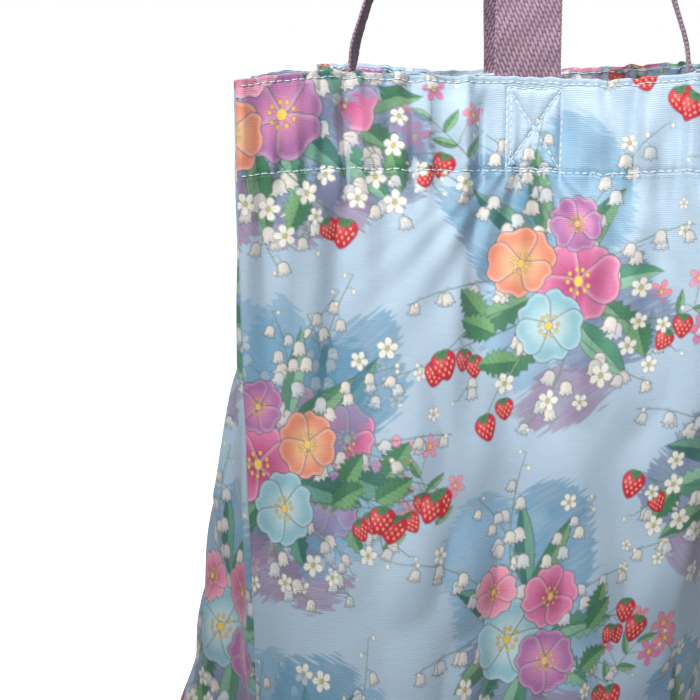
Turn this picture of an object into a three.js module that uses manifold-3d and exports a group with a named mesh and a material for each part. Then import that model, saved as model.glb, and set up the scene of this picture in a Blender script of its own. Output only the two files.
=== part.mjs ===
// Foldable tote bag: two fabric panels on a boxed base, turned hem, webbing handles,
// inner stow pouch with a press stud.
// Millimetres, +Z up. X runs along the base's long side, the front panel faces -Y,
// and the origin is the centre of the base's underside.
import * as THREE from 'three';
import { mergeVertices } from 'three/addons/utils/BufferGeometryUtils.js';
import Module from 'manifold-3d';

const wasm = await Module();
wasm.setup();

// ---- driving dimensions ----
const PANEL_W = 420;        // each panel, side seam to side seam, along the cloth
const BASE_L = 284;         // boxed base, long side
const BASE_W = 136;         // boxed base, short side
const BASE_T = 1.2;
const RIM_Z = 355;          // mouth height
const MOUTH_HALF_X = 155;   // mouth centre to a side seam, before the corners are softened
const MOUTH_HALF_Y = 139;   // mouth centre to a centre fold, likewise
const MOUTH_BOW = 32;       // how far the handles draw each side of the mouth inward
const BOW_POWER = 1.05;     // shape of that bow: a sine raised to this power
const CLOTH_T = 0.8;        // cloth, as a working thickness
const GAP = 0.3;            // working clearance between layers
const HEM = 38;             // depth of the turned hem
const THREAD = 0.5;         // stitch rows
const BINDING_W = 8;        // bound seam allowance
const BINDING_T = 1.2;
const WEB_W = 25;           // webbing width
const WEB_T = 1.6;          // webbing thickness
const LEG_S = 117.5;        // handle leg centre from the side seam, along the cloth

const PANEL_BOTTOM = BASE_T + GAP;

// ---- plan outlines ----
// Closed loops of [x, y], one point per millimetre of cloth, from the left seam round the front.
// A place along the cloth is called a station.
const LOOP = 2 * PANEL_W;

const distance = (a, b) => Math.hypot(b[0] - a[0], b[1] - a[1]);
const lerp = (a, b, f) => [a[0] + f * (b[0] - a[0]), a[1] + f * (b[1] - a[1])];

// Spreads LOOP points evenly along a closed polyline.
function resample(points) {
  const count = points.length;
  const lengths = [0];
  for (let i = 1; i <= count; i++) {
    lengths.push(lengths[i - 1] + distance(points[i - 1], points[i % count]));
  }
  const result = [];
  let k = 0;
  for (let i = 0; i < LOOP; i++) {
    const target = (i * lengths[count]) / LOOP;
    while (lengths[k + 1] < target) k++;
    const f = (target - lengths[k]) / (lengths[k + 1] - lengths[k] || 1);
    result.push(lerp(points[k], points[(k + 1) % count], f));
  }
  return result;
}

// Mirrors a quarter outline, left seam to front centre with both ends, into a whole loop.
function fullLoop(quarter) {
  const reversed = [...quarter].reverse();
  return resample([
    ...quarter,
    ...reversed.slice(1).map(([x, y]) => [-x, y]),
    ...quarter.slice(1).map(([x, y]) => [-x, -y]),
    ...reversed.slice(1, -1).map(([x, y]) => [x, -y]),
  ]);
}

// Gaussian smoothing; sigmaAt(i) gives its spread, in points, at point i.
function smooth(loop, sigmaAt) {
  return loop.map((_, i) => {
    const sigma = sigmaAt(i);
    const reach = Math.ceil(3 * sigma);
    let x = 0, y = 0, total = 0;
    for (let j = -reach; j <= reach; j++) {
      const weight = Math.exp((-j * j) / (2 * sigma * sigma));
      const point = loop[(i + j + LOOP) % LOOP];
      x += weight * point[0];
      y += weight * point[1];
      total += weight;
    }
    return [x / total, y / total];
  });
}

// Smoothing of the mouth: light at the side seams, growing to full over a ramp.
const MOUTH_SMOOTH = { atSeam: 3, extra: 8, rampStart: 12, rampLength: 60 };
const BASE_SMOOTH = 9;

function mouthLoop() {
  const seam = [-MOUTH_HALF_X, 0], fold = [0, -MOUTH_HALF_Y];
  const chord = distance(seam, fold);
  const quarter = range(0, 1, 200).map((f) => {
    const bow = MOUTH_BOW * Math.sin(Math.PI * f) ** BOW_POWER;
    const [x, y] = lerp(seam, fold, f);
    return [x + (MOUTH_HALF_Y / chord) * bow, y + (MOUTH_HALF_X / chord) * bow];
  });
  const { atSeam, extra, rampStart, rampLength } = MOUTH_SMOOTH;
  const softened = smooth(fullLoop(quarter), (i) => {
    const along = i % PANEL_W;
    const fromSeam = Math.min(along, PANEL_W - along);
    return atSeam + extra * Math.min(1, Math.max(0, (fromSeam - rampStart) / rampLength));
  });
  // scaled so that its length is that of the cloth
  const loop = resample(softened);
  const perimeter = loop.reduce((sum, p, i) => sum + distance(p, loop[(i + 1) % LOOP]), 0);
  const scale = LOOP / perimeter;
  return loop.map(([x, y]) => [x * scale, y * scale]);
}

function baseLoop() {
  const x = -BASE_L / 2, y = -BASE_W / 2;
  const endSteps = 70, frontSteps = 145;
  const quarter = [];
  for (let i = 0; i < endSteps; i++) quarter.push([x, (y * i) / endSteps]);
  for (let i = 0; i <= frontSteps; i++) quarter.push([x * (1 - i / frontSteps), y]);
  return resample(smooth(fullLoop(quarter), () => BASE_SMOOTH));
}

function range(from, to, steps) {
  return Array.from({ length: steps + 1 }, (_, i) => from + ((to - from) * i) / steps);
}

const MOUTH_LOOP = mouthLoop();
const BASE_LOOP = baseLoop();

function loopPoint(loop, station) {
  const wrapped = ((station % LOOP) + LOOP) % LOOP;
  const i = Math.floor(wrapped);
  return lerp(loop[i], loop[(i + 1) % LOOP], wrapped - i);
}

// Outer face at a height, eased from the mouth outline down to the base outline.
function section(station, z) {
  const t = Math.min(1, Math.max(0, 1 - z / RIM_Z));
  const ease = t * t * (3 - 2 * t);
  return lerp(loopPoint(MOUTH_LOOP, station), loopPoint(BASE_LOOP, station), ease);
}

// Point on the wall, at a depth inward from the outer face.
function wall(station, z, depth) {
  const reach = 1.5;        // either side of the point, to find the wall's direction
  const [x, y] = section(station, z);
  const before = section(station - reach, z), after = section(station + reach, z);
  const length = distance(before, after);
  return [
    x - (depth * (after[1] - before[1])) / length,
    y + (depth * (after[0] - before[0])) / length,
    z,
  ];
}

// ---- solids ----
function solid(positions, index) {
  const geometry = new THREE.BufferGeometry();
  geometry.setAttribute('position', new THREE.Float32BufferAttribute(positions.flat(), 3));
  geometry.setIndex(index);
  return geometry;
}

// Curved sheet between two depths of the wall; closed = goes right round the bag.
function sheet(stations, heights, outer, inner, closed = false) {
  const n = stations.length, m = heights.length;
  const positions = [], index = [];
  for (const depth of [outer, inner]) {
    for (const z of heights) for (const s of stations) positions.push(wall(s, z, depth));
  }
  const id = (layer, row, column) => layer * n * m + row * n + (column % n);
  const quad = (a, b, c, d) => index.push(a, b, c, a, c, d);
  const columns = closed ? n : n - 1;
  const top = m - 1, end = n - 1;
  for (let j = 0; j < top; j++) for (let i = 0; i < columns; i++) {
    quad(id(0, j, i), id(0, j, i + 1), id(0, j + 1, i + 1), id(0, j + 1, i));
    quad(id(1, j, i), id(1, j + 1, i), id(1, j + 1, i + 1), id(1, j, i + 1));
  }
  for (let i = 0; i < columns; i++) {
    quad(id(0, 0, i), id(1, 0, i), id(1, 0, i + 1), id(0, 0, i + 1));
    quad(id(0, top, i), id(0, top, i + 1), id(1, top, i + 1), id(1, top, i));
  }
  if (!closed) for (let j = 0; j < top; j++) {
    quad(id(0, j, 0), id(0, j + 1, 0), id(1, j + 1, 0), id(1, j, 0));
    quad(id(0, j, end), id(1, j, end), id(1, j + 1, end), id(0, j + 1, end));
  }
  return solid(positions, index);
}

// Rectangle swept along frames {point, across, normal}: width lies across, thickness normal.
function sweep(frames, width, thickness) {
  const corners = [[-1, -1], [1, -1], [1, 1], [-1, 1]];
  const positions = frames.flatMap(({ point, across, normal }) => corners.map(([u, v]) =>
    point.clone()
      .addScaledVector(across, (u * width) / 2)
      .addScaledVector(normal, (v * thickness) / 2)
      .toArray()));
  const index = [];
  for (let i = 0; i < frames.length - 1; i++) for (let k = 0; k < 4; k++) {
    const p = i * 4 + k, q = i * 4 + ((k + 1) % 4);
    index.push(p, q, q + 4, p, q + 4, p + 4);
  }
  const e = (frames.length - 1) * 4;
  index.push(0, 2, 1, 0, 3, 2, e, e + 1, e + 2, e, e + 2, e + 3);
  return solid(positions, index);
}

// Joins coincident vertices, so that the surface closes.
function weld(geometry) {
  geometry.deleteAttribute('normal');
  geometry.deleteAttribute('uv');
  return mergeVertices(geometry, 1e-4);
}

// Turns the faces outward where the enclosed volume comes out negative.
function outward(geometry) {
  const { position } = geometry.attributes;
  const index = geometry.index.array;
  const a = new THREE.Vector3(), b = new THREE.Vector3(), c = new THREE.Vector3();
  let volume = 0;
  for (let i = 0; i < index.length; i += 3) {
    a.fromBufferAttribute(position, index[i]);
    b.fromBufferAttribute(position, index[i + 1]);
    c.fromBufferAttribute(position, index[i + 2]);
    volume += a.dot(b.cross(c));
  }
  if (volume < 0) for (let i = 0; i < index.length; i += 3) {
    [index[i + 1], index[i + 2]] = [index[i + 2], index[i + 1]];
  }
  return geometry;
}

// Expects a welded geometry.
function toManifold(geometry) {
  outward(geometry);
  return new wasm.Manifold(new wasm.Mesh({
    numProp: 3,
    vertProperties: Float32Array.from(geometry.attributes.position.array),
    triVerts: Uint32Array.from(geometry.index.array),
  }));
}

function fromManifold(manifold) {
  const mesh = manifold.getMesh();
  return solid(Array.from(mesh.vertProperties), Array.from(mesh.triVerts));
}

// ---- materials ----
const standard = (color, roughness, metalness = 0) =>
  new THREE.MeshStandardMaterial({ color, roughness, metalness });
const MATERIALS = {         // colour, roughness, metalness
  cloth: standard(0xaecbd9, 0.62),
  webbing: standard(0xa5829a, 0.85),
  thread: standard(0xc8dceb, 0.7),
  binding: standard(0x9fbccb, 0.8),
  stud: standard(0xb9bcc0, 0.3, 1),
};

const root = new THREE.Group();
root.name = 'tote_bag';

function add(name, geometry, material, parent = root) {
  outward(geometry).computeVertexNormals();
  const mesh = new THREE.Mesh(geometry, MATERIALS[material]);
  mesh.name = name;
  parent.add(mesh);
}

// ---- stations and heights of the cloth ----
// stations from a side seam to the centre fold
const HALF_PANEL = [
  2.6, 6, 12, 24, 40, 53, 60.5, 68, 75.5, 86,
  97, 106, 117.5, 129, 138, 156, 174, 188, 199, 210,
];
const HALF_FACING = [15, 19, ...HALF_PANEL.slice(3)];
const HEM_Z = [RIM_Z - HEM, RIM_Z - HEM / 2, RIM_Z];
const PANEL_Z = [PANEL_BOTTOM, 18, 45, 80, 118, 158, 200, 242, 282, ...HEM_Z];

const toBack = (stations) => stations.map((s) => s + PANEL_W);
const bothHalves = (half) =>
  [...half, ...half.slice(0, -1).reverse().map((s) => PANEL_W - s)];

const PANEL_S = bothHalves(HALF_PANEL);
const FACING_S = bothHalves(HALF_FACING);
const RING_S = [0, ...PANEL_S, PANEL_W, ...toBack(PANEL_S)];   // right round the bag

// ---- panels ----
function addPanels() {
  add('front_panel', sheet(PANEL_S, PANEL_Z, 0, CLOTH_T), 'cloth');
  add('back_panel', sheet(toBack(PANEL_S), PANEL_Z, 0, CLOTH_T), 'cloth');
}

// ---- base and its binding ----
function addBase() {
  const outline = RING_S.map((s) => new THREE.Vector2(...loopPoint(BASE_LOOP, s)));
  const plate = new THREE.ExtrudeGeometry(new THREE.Shape(outline), {
    depth: BASE_T,
    bevelEnabled: false,
  });
  add('base_panel', weld(plate), 'cloth');
  const heights = [PANEL_BOTTOM, PANEL_BOTTOM + BINDING_W];
  const outer = CLOTH_T + GAP;
  add('base_binding', sheet(RING_S, heights, outer, outer + BINDING_T, true), 'binding');
}

// ---- bound side seams, standing inward in the seam plane ----
const SEAM_INSET = 3.8;     // seam line to the binding's near edge
const SEAM_END_GAP = 2;     // clear of the base binding and of the hem

function addSeamBinding(name, side) {
  const bottom = PANEL_BOTTOM + BINDING_W + SEAM_END_GAP;
  const frames = range(bottom, RIM_Z - HEM - SEAM_END_GAP, 10).map((z) => {
    const x = Math.abs(section(0, z)[0]) - SEAM_INSET - BINDING_W / 2;
    return {
      point: new THREE.Vector3(side * x, 0, z),
      across: new THREE.Vector3(1, 0, 0),
      normal: new THREE.Vector3(0, 1, 0),
    };
  });
  add(name, sweep(frames, BINDING_W, BINDING_T), 'binding');
}

// ---- turned hem: the handle feet lie between panel and facing ----
const FOOT_OUTER = CLOTH_T + GAP;
const FOOT_INNER = FOOT_OUTER + WEB_T;
const FACING_OUTER = FOOT_INNER + GAP;
const FACING_INNER = FACING_OUTER + CLOTH_T;
const TOP_ROW_DOWN = 2.6;   // top stitch row, below the mouth
const BOTTOM_ROW_UP = 1.2;  // bottom stitch row, above the hem's lower edge

function addHemStitch(name, z) {
  add(name, sheet(RING_S, [z, z + THREAD], -GAP - THREAD, -GAP, true), 'thread');
}

function addHem() {
  const facing = (stations) => sheet(stations, HEM_Z, FACING_OUTER, FACING_INNER);
  add('hem_facing_front', facing(FACING_S), 'cloth');
  add('hem_facing_back', facing(toBack(FACING_S)), 'cloth');
  addHemStitch('hem_stitch_top', RIM_Z - TOP_ROW_DOWN);
  addHemStitch('hem_stitch_bottom', RIM_Z - HEM + BOTTOM_ROW_UP);
}

// ---- handle feet ----
const BEND = 10;            // the webbing bends this far above the mouth
const BEND_CLEAR = 0.6;     // foot and loop each stop this far short of the bend
const FOOT_DOWN = 35;       // the foot reaches this far below the mouth
const FOOT_MID_DOWN = 17;   // its middle row of points
const FOOT_TOP_DROPS = [0, 0.8, 9.4];   // top edge, from the seam side to the fold side

const LEGS = {
  front_left: LEG_S,
  front_right: PANEL_W - LEG_S,
  back_right: PANEL_W + LEG_S,
  back_left: LOOP - LEG_S,
};

// The top edge slopes down towards the centre fold, clear of the loop as it swings outward.
function handleFoot(station) {
  const towardsFold = Math.sign(PANEL_W / 2 - (station % PANEL_W));
  const top = RIM_Z + BEND - BEND_CLEAR;
  const stations = range(station - WEB_W / 2, station + WEB_W / 2, 2);
  const heights = [RIM_Z - FOOT_DOWN, RIM_Z - FOOT_MID_DOWN, top];
  const foot = sheet(stations, heights, FOOT_OUTER, FOOT_INNER);
  const { position } = foot.attributes;
  for (let i = 0; i < position.count; i++) if (position.getZ(i) > RIM_Z) {
    const side = ((i % stations.length) - 1) * towardsFold;
    position.setZ(i, top - FOOT_TOP_DROPS[side + 1]);
  }
  return foot;
}

// ---- box-and-cross stitching ----
const BOX_W = 22;
const BOX_H = 30;
const BOX_DOWN = 4;         // top of the box below the mouth
const BOX_CLEAR = 0.55;     // thread figure off the cloth
const BOX_LINE = 0.9;       // width of the box's lines

// One flat figure, its four windows left between the box and its cross.
function boxFigure() {
  const a = BOX_W / 2, b = BOX_H / 2;
  const x = a - BOX_LINE, y = b - BOX_LINE;
  const crossX = BOX_LINE * 1.15, crossY = (crossX * b) / a;     // windows from the centre
  const cornerX = BOX_LINE * 1.5, cornerY = (cornerX * b) / a;   // and from the box corners
  const points = (list) => list.map((p) => new THREE.Vector2(...p));
  const figure = new THREE.Shape(points([
    [-a, -b], [0, -b], [a, -b], [a, -b / 3], [a, b / 3],
    [a, b], [0, b], [-a, b], [-a, b / 3], [-a, -b / 3],
  ]));
  const windows = [
    [[-x + cornerX, -y], [0, -crossY], [x - cornerX, -y]],
    [[-x + cornerX, y], [x - cornerX, y], [0, crossY]],
    [[-x, -y + cornerY], [-x, y - cornerY], [-crossX, 0]],
    [[x, -y + cornerY], [crossX, 0], [x, y - cornerY]],
  ];
  figure.holes = windows.map((list) => new THREE.Path(points(list)));
  return weld(new THREE.ExtrudeGeometry(figure, { depth: THREAD, bevelEnabled: false }));
}

function boxStitch(station) {
  const geometry = boxFigure();
  const { position } = geometry.attributes;
  const centreZ = RIM_Z - BOX_DOWN - BOX_H / 2;
  for (let i = 0; i < position.count; i++) {
    const depth = -BOX_CLEAR - THREAD + position.getZ(i);
    const point = wall(station + position.getX(i), centreZ + position.getY(i), depth);
    position.setXYZ(i, ...point);
  }
  return geometry;
}

function addFeet() {
  for (const [where, station] of Object.entries(LEGS)) {
    add(`handle_foot_${where}`, handleFoot(station), 'webbing');
    add(`box_stitch_${where}`, boxStitch(station), 'thread');
  }
}

// ---- handles: each one loop of webbing from foot to foot ----
const HANDLE_H = 228;       // top of the handle loop above the mouth
const HANDLE_Y = 14;        // the two loops lie side by side at the top
const HANDLE_PULL = [27, 23, 100];   // first curve control, from the leg's start
const HANDLE_TOP_PULL = 26;          // second curve control, left of the top centre
const HANDLE_STEPS = [0, 0.08, 0.18, 0.3, 0.42, 0.54, 0.66, 0.76, 0.85, 0.92, 0.97, 1];

function scaleFrame(frame, x, y) {
  const factor = new THREE.Vector3(x, y, 1);
  return {
    point: frame.point.clone().multiply(factor),
    across: frame.across.clone().multiply(factor),
    normal: frame.normal.clone().multiply(factor),
  };
}

// Front loop: the left half follows a curve, the right half mirrors it.
function handleFrames() {
  const [x, y] = wall(LEG_S, RIM_Z, (FOOT_OUTER + FOOT_INNER) / 2);
  const start = new THREE.Vector3(x, y, RIM_Z + BEND + BEND_CLEAR);
  const topZ = RIM_Z + HANDLE_H;
  const curve = new THREE.CubicBezierCurve3(
    start,
    start.clone().add(new THREE.Vector3(...HANDLE_PULL)),
    new THREE.Vector3(-HANDLE_TOP_PULL, -HANDLE_Y, topZ),
    new THREE.Vector3(0, -HANDLE_Y, topZ),
  );
  // the width turns from along the mouth's side to straight across the bag
  const startAngle = Math.atan2(-MOUTH_HALF_Y, MOUTH_HALF_X);
  const endAngle = -Math.PI / 2;
  const nudge = 1e-3;
  const left = HANDLE_STEPS.map((t) => {
    const tangent = curve.getPoint(Math.min(1, t + nudge))
      .sub(curve.getPoint(Math.max(0, t - nudge)))
      .normalize();
    const angle = startAngle + t * t * (3 - 2 * t) * (endAngle - startAngle);
    const across = new THREE.Vector3(Math.cos(angle), Math.sin(angle), 0);
    across.addScaledVector(tangent, -across.dot(tangent)).normalize();
    const normal = new THREE.Vector3().crossVectors(tangent, across);
    return { point: curve.getPoint(t), across, normal };
  });
  const right = left.slice(0, -1).reverse().map((frame) => scaleFrame(frame, -1, 1));
  return [...left, ...right];
}

function addHandles() {
  const front = handleFrames();
  const back = front.map((frame) => scaleFrame(frame, -1, -1));
  add('handle_front', sweep(front, WEB_W, WEB_T), 'webbing');
  add('handle_back', sweep(back, WEB_W, WEB_T), 'webbing');
}

// ---- stow pouch: hangs inside the back panel ----
// Local X along the wall, local -Y into the bag.
const POUCH_W = 100;
const POUCH_H = 120;
const POUCH_S = 524;                  // station of its centre
const POUCH_TOP = RIM_Z - HEM - 7;    // top edge of the pouch back
const FRONT_TOP = POUCH_TOP - 10;     // top edge of the pouch front
const FLAP_W = 84;
const FLAP_H = 50;
const LIP_Z = POUCH_TOP - 8.2;        // underside of the lip
const HANGER = { inset: 4, bottomUp: 0.7, topUp: 18 };   // heights above the pouch top
// wall-side faces of the layers
const BACK_Y = -4.9;
const FRONT_Y = -7.2;
const FLAP_Y = -11.5;
// binding: side is its thickness past the edges, face its thickness over the layers
const EDGE = { side: 0.6, face: 0.5, width: 7, topDown: 1 };
const STUD_Z = POUCH_TOP - 42;
const HOLE_R = 1.8;                   // stud holes, and bore of socket and stud
const SHANK_R = 1.4;

// Block centred on local x = 0.
function block(width, y0, y1, z0, z1) {
  const box = new THREE.BoxGeometry(width, y1 - y0, z1 - z0);
  return weld(box.translate(0, (y0 + y1) / 2, (z0 + z1) / 2));
}

// Profile of [radius, y] turned about the stud's axis, parallel to Y.
function turned(profile, segments = 24) {
  const points = profile.map(([r, y]) => new THREE.Vector2(r, y));
  return weld(new THREE.LatheGeometry(points, segments).translate(0, 0, STUD_Z));
}

// Layer of cloth with the stud's hole; y is its wall-side face.
function drilledCloth(width, y, z0, z1) {
  const y0 = y - CLOTH_T - 1, y1 = y + 1;
  const hole = turned([[0, y0], [HOLE_R, y0], [HOLE_R, y1], [0, y1]], 16);
  const plate = block(width, y - CLOTH_T, y, z0, z1);
  return fromManifold(toManifold(plate).subtract(toManifold(hole)));
}

function pouchGroup() {
  const group = new THREE.Group();
  const [x, y] = loopPoint(MOUTH_LOOP, POUCH_S);
  const before = loopPoint(MOUTH_LOOP, POUCH_S - 2);
  const after = loopPoint(MOUTH_LOOP, POUCH_S + 2);
  group.position.set(x, y, 0);
  group.rotation.z = Math.atan2(before[1] - after[1], before[0] - after[0]);
  return group;
}

function pouchHanger() {
  const z0 = POUCH_TOP + HANGER.bottomUp, z1 = POUCH_TOP + HANGER.topUp;
  return block(POUCH_W - 2 * HANGER.inset, BACK_Y - CLOTH_T, BACK_Y, z0, z1);
}

// The back's cloth folds forward over the pouch's mouth as a lip, from which the flap hangs.
function pouchBack() {
  const back = block(POUCH_W, BACK_Y - CLOTH_T, BACK_Y, POUCH_TOP - POUCH_H, POUCH_TOP);
  const lip = block(FLAP_W, FLAP_Y + GAP, BACK_Y - CLOTH_T / 2, LIP_Z, LIP_Z + CLOTH_T);
  return fromManifold(toManifold(back).add(toManifold(lip)));
}

// Bound edge: a U round three sides, wrapped over both layers.
function pouchBinding() {
  const { side, face, width, topDown } = EDGE;
  const y0 = FRONT_Y - CLOTH_T - GAP - face, y1 = BACK_Y + GAP + face;
  const outerW = POUCH_W + 2 * (GAP + side);
  const bottom = POUCH_TOP - POUCH_H - GAP - side;
  const cutTop = POUCH_TOP + 5;
  const body = block(outerW, y0, y1, bottom, POUCH_TOP - topDown);
  const opening = block(outerW - 2 * width, y0 - 1, y1 + 1, bottom + width, cutTop);
  const slot = block(outerW - 2 * side, y0 + face, y1 - face, bottom + side, cutTop);
  return fromManifold(
    toManifold(body).subtract(toManifold(opening)).subtract(toManifold(slot)),
  );
}

// Press stud, from the flap's outer face inward to the pouch; profiles are [radius, y].
function addStud(pouch) {
  const capY = FLAP_Y - CLOTH_T - GAP;        // cap seat on the flap
  const socketY = FLAP_Y + GAP;               // socket seat on the flap
  const studY = FRONT_Y - CLOTH_T - GAP;      // stud seat on the pouch front
  const postY = FRONT_Y + GAP;                // post seat behind the pouch front
  const profiles = {
    snap_cap: [
      [0, capY - 1.1], [5.6, capY - 1.1], [6.2, capY - 0.5], [6.2, capY],
      [SHANK_R, capY], [SHANK_R, FLAP_Y + 1.1], [0, FLAP_Y + 1.1],
    ],
    snap_socket: [
      [HOLE_R, socketY], [5.5, socketY], [5.5, socketY + 1.7], [3.3, socketY + 1.7],
      [3.3, socketY + 0.6], [HOLE_R, socketY + 0.6], [HOLE_R, socketY],
    ],
    snap_stud: [
      [HOLE_R, studY], [5, studY], [5, studY - 0.6], [2.8, studY - 0.6],
      [2.8, studY - 1.5], [HOLE_R, studY - 1.5], [HOLE_R, studY],
    ],
    snap_post: [
      [0, postY + 0.6], [4.5, postY + 0.6], [4.5, postY],
      [SHANK_R, postY], [SHANK_R, studY - 0.7], [0, studY - 0.7],
    ],
  };
  for (const [name, profile] of Object.entries(profiles)) {
    add(name, turned(profile), 'stud', pouch);
  }
}

function addPouch() {
  const pouch = pouchGroup();
  root.add(pouch);
  const front = drilledCloth(POUCH_W, FRONT_Y, POUCH_TOP - POUCH_H, FRONT_TOP);
  const flapTop = LIP_Z + CLOTH_T;
  const flap = drilledCloth(FLAP_W, FLAP_Y, flapTop - FLAP_H, flapTop);
  add('pouch_hanger', pouchHanger(), 'binding', pouch);
  add('pouch_back', pouchBack(), 'cloth', pouch);
  add('pouch_front', front, 'cloth', pouch);
  add('pouch_binding', pouchBinding(), 'binding', pouch);
  add('pouch_flap', flap, 'cloth', pouch);
  addStud(pouch);
}

addPanels();
addBase();
addSeamBinding('seam_binding_left', -1);
addSeamBinding('seam_binding_right', 1);
addHem();
addFeet();
addHandles();
addPouch();

export default root;
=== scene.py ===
"""A folding shopping bag of printed cloth: two wall panels with a stitched hem round the mouth,
two webbing handles, bound seams, and a snap pouch hanging inside the back.

Lengths are millimetres until a mesh is made. The bag stands on z = 0 with its mouth at RIM_Z,
front towards -y and side seams at -x (left) and +x (right). Places on the wall are given by
`along`, the way round from the left seam over the front; `down`, measured from the mouth; and
`depth`, inward from the outer face.
"""

import math

import bpy
import numpy as np
from mathutils import Matrix, Vector


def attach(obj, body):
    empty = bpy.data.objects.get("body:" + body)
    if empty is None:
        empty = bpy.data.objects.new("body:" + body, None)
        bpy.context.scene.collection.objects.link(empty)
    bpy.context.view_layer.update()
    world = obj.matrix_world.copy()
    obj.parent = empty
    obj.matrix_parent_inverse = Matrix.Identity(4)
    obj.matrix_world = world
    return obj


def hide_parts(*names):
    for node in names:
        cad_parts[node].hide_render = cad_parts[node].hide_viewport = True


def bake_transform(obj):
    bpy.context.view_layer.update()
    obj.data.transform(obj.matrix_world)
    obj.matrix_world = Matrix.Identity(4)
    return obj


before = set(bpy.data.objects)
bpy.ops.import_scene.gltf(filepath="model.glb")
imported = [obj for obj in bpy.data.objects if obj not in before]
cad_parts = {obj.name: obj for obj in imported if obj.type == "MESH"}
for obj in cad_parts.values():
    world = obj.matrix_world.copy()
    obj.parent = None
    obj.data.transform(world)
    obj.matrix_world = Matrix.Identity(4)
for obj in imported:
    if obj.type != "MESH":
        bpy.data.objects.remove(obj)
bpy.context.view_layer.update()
COARSE = 1.0

# Driving dimensions
BASE_L, BASE_W, RIM_Z = 284, 136, 355.0
PANEL_W = BASE_L + BASE_W
GIRTH = 2 * PANEL_W
MOUTH_A, MOUTH_B, MOUTH_BOW = 155.0, 139.0, 32.0  # half diagonals of the mouth, bow of its sides
LEG_S, BEND, HANDLE_H, HANDLE_Y = 117.5, 10.0, 228.0, 14.0
# Each handle foot: its place along the wall, and the way its sewn box is shifted
LEGS = {
    "front_left": (LEG_S, 1),
    "front_right": (PANEL_W - LEG_S, -1),
    "back_right": (PANEL_W + LEG_S, 1),
    "back_left": (GIRTH - LEG_S, -1),
}
HEM_UPPER, HEM_LOWER = 2.45, 36.7  # the two stitch lines of the hem, down from the mouth
STRIDE = 5  # the far face of a sheet keeps every STRIDE-th row and column
MM = 0.001


# ---------------------------------------------------------------- shared geometry
def unit(vectors):
    return vectors / np.linalg.norm(vectors, axis=-1, keepdims=True)


def travelled(path):
    """Distance covered at each point of a path."""
    return np.r_[0, np.cumsum(np.linalg.norm(np.diff(path, axis=0), axis=1))]


def pair(rows, columns):
    """A grid of (row value, column value)."""
    return np.stack(np.meshgrid(rows, columns, indexing="ij"), -1)


def sstep(low, high, x):
    """Smooth step from 0 at low to 1 at high."""
    t = np.clip((x - low) / (high - low), 0, 1)
    return t * t * (3 - 2 * t)


def hump(x, width):
    """A rounded bump, 1 at x = 0."""
    return np.exp(-(x / width) ** 2)


def segment_distance(x, y, start, end):
    """Distance from each point to each segment, and how far along it (0 to 1) the nearest spot is."""
    x, y = x[..., None], y[..., None]
    dx, dy = (end - start).T
    x0, y0 = start.T
    share = ((x - x0) * dx + (y - y0) * dy) / np.maximum(dx * dx + dy * dy, 1e-9)
    share = np.clip(share, 0, 1)
    return np.hypot(x - x0 - dx * share, y - y0 - dy * share), share


def spline(points, steps=6, closed=True):
    """A smooth curve through the points, each span cut into steps."""
    points = np.asarray(points, float)
    if closed:
        spans = [np.roll(points, shift, 0) for shift in (1, 0, -1, -2)]
    else:
        ends = 2 * points[0] - points[1], 2 * points[-1] - points[-2]
        points = np.vstack([ends[0], points, ends[1]])
        spans = points[:-3], points[1:-2], points[2:-1], points[3:]
    t = (np.arange(steps) / steps)[None, :, None]
    a, b, c, d = (q[:, None, :] for q in spans)
    cubic = (3 * b - a - 3 * c + d) * t ** 3
    out = 0.5 * (2 * b + (c - a) * t + (2 * a - 5 * b + 4 * c - d) * t * t + cubic)
    out = out.reshape(-1, 2)
    return out if closed else np.vstack([out, points[-2:-1]])


def place(points, x, y, size=1.0, angle=0.0, flip=1.0):
    """A local figure moved to (x, y), turned by angle degrees, clockwise with y pointing down."""
    points = np.asarray(points, float) * [flip * size, size]
    c, s = math.cos(math.radians(angle)), math.sin(math.radians(angle))
    px, py = points[..., 0], points[..., 1]
    return np.stack([px * c - py * s + x, px * s + py * c + y], -1)


# ---------------------------------------------------------------- print painter
# The print is a colour field over one panel width: x across (it wraps), y down the cloth.
def srgb(r, g, b):
    c = np.array([r, g, b], float) / 255
    return np.where(c <= 0.04045, c / 12.92, ((c + 0.055) / 1.055) ** 2.4).astype(np.float32)


BASE = srgb(178, 200, 218)
CELL = 0.4 * COARSE
TILE_H, TILE_TOP = 372.0, -6.0
COLS, ROWS = int(round(PANEL_W / CELL)), int(round(TILE_H / CELL))
TILE = np.empty((ROWS, COLS, 3), np.float32)
TILE[:] = BASE


def window(points, margin=0.8):
    """The cells round some points: column and row numbers, and the cell centres."""
    low, high = points.min(0) - margin, points.max(0) + margin
    cols = np.arange(int(low[0] / CELL), int(high[0] / CELL) + 1)
    row0 = max(0, int((low[1] - TILE_TOP) / CELL))
    row1 = min(ROWS, int((high[1] - TILE_TOP) / CELL) + 1)
    rows = np.arange(row0, row1)
    X, Y = np.meshgrid((cols + 0.5) * CELL, (rows + 0.5) * CELL + TILE_TOP)
    return (rows, cols % COLS), X, Y


def blend(cells, colour, alpha):
    cells = np.ix_(*cells)
    current = TILE[cells]
    change = (np.asarray(colour, np.float32) - current) * alpha[..., None].astype(np.float32)
    TILE[cells] = current + change


def signed_distance(outline, X, Y):
    """Distance to a closed outline, negative inside it."""
    after = np.roll(outline, -1, 0)
    dist = segment_distance(X, Y, outline, after)[0].min(-1)
    x, y = X[..., None], Y[..., None]
    (x0, y0), (dx, dy) = outline.T, (after - outline).T
    crosses = (y0 > y) != (after[:, 1] > y)
    dy = np.where(np.abs(dy) < 1e-9, 1e-9, dy)
    hits = crosses & (x < x0 + dx * (y - y0) / dy)
    return np.where(hits.sum(-1) % 2 == 1, -dist, dist)


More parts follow.
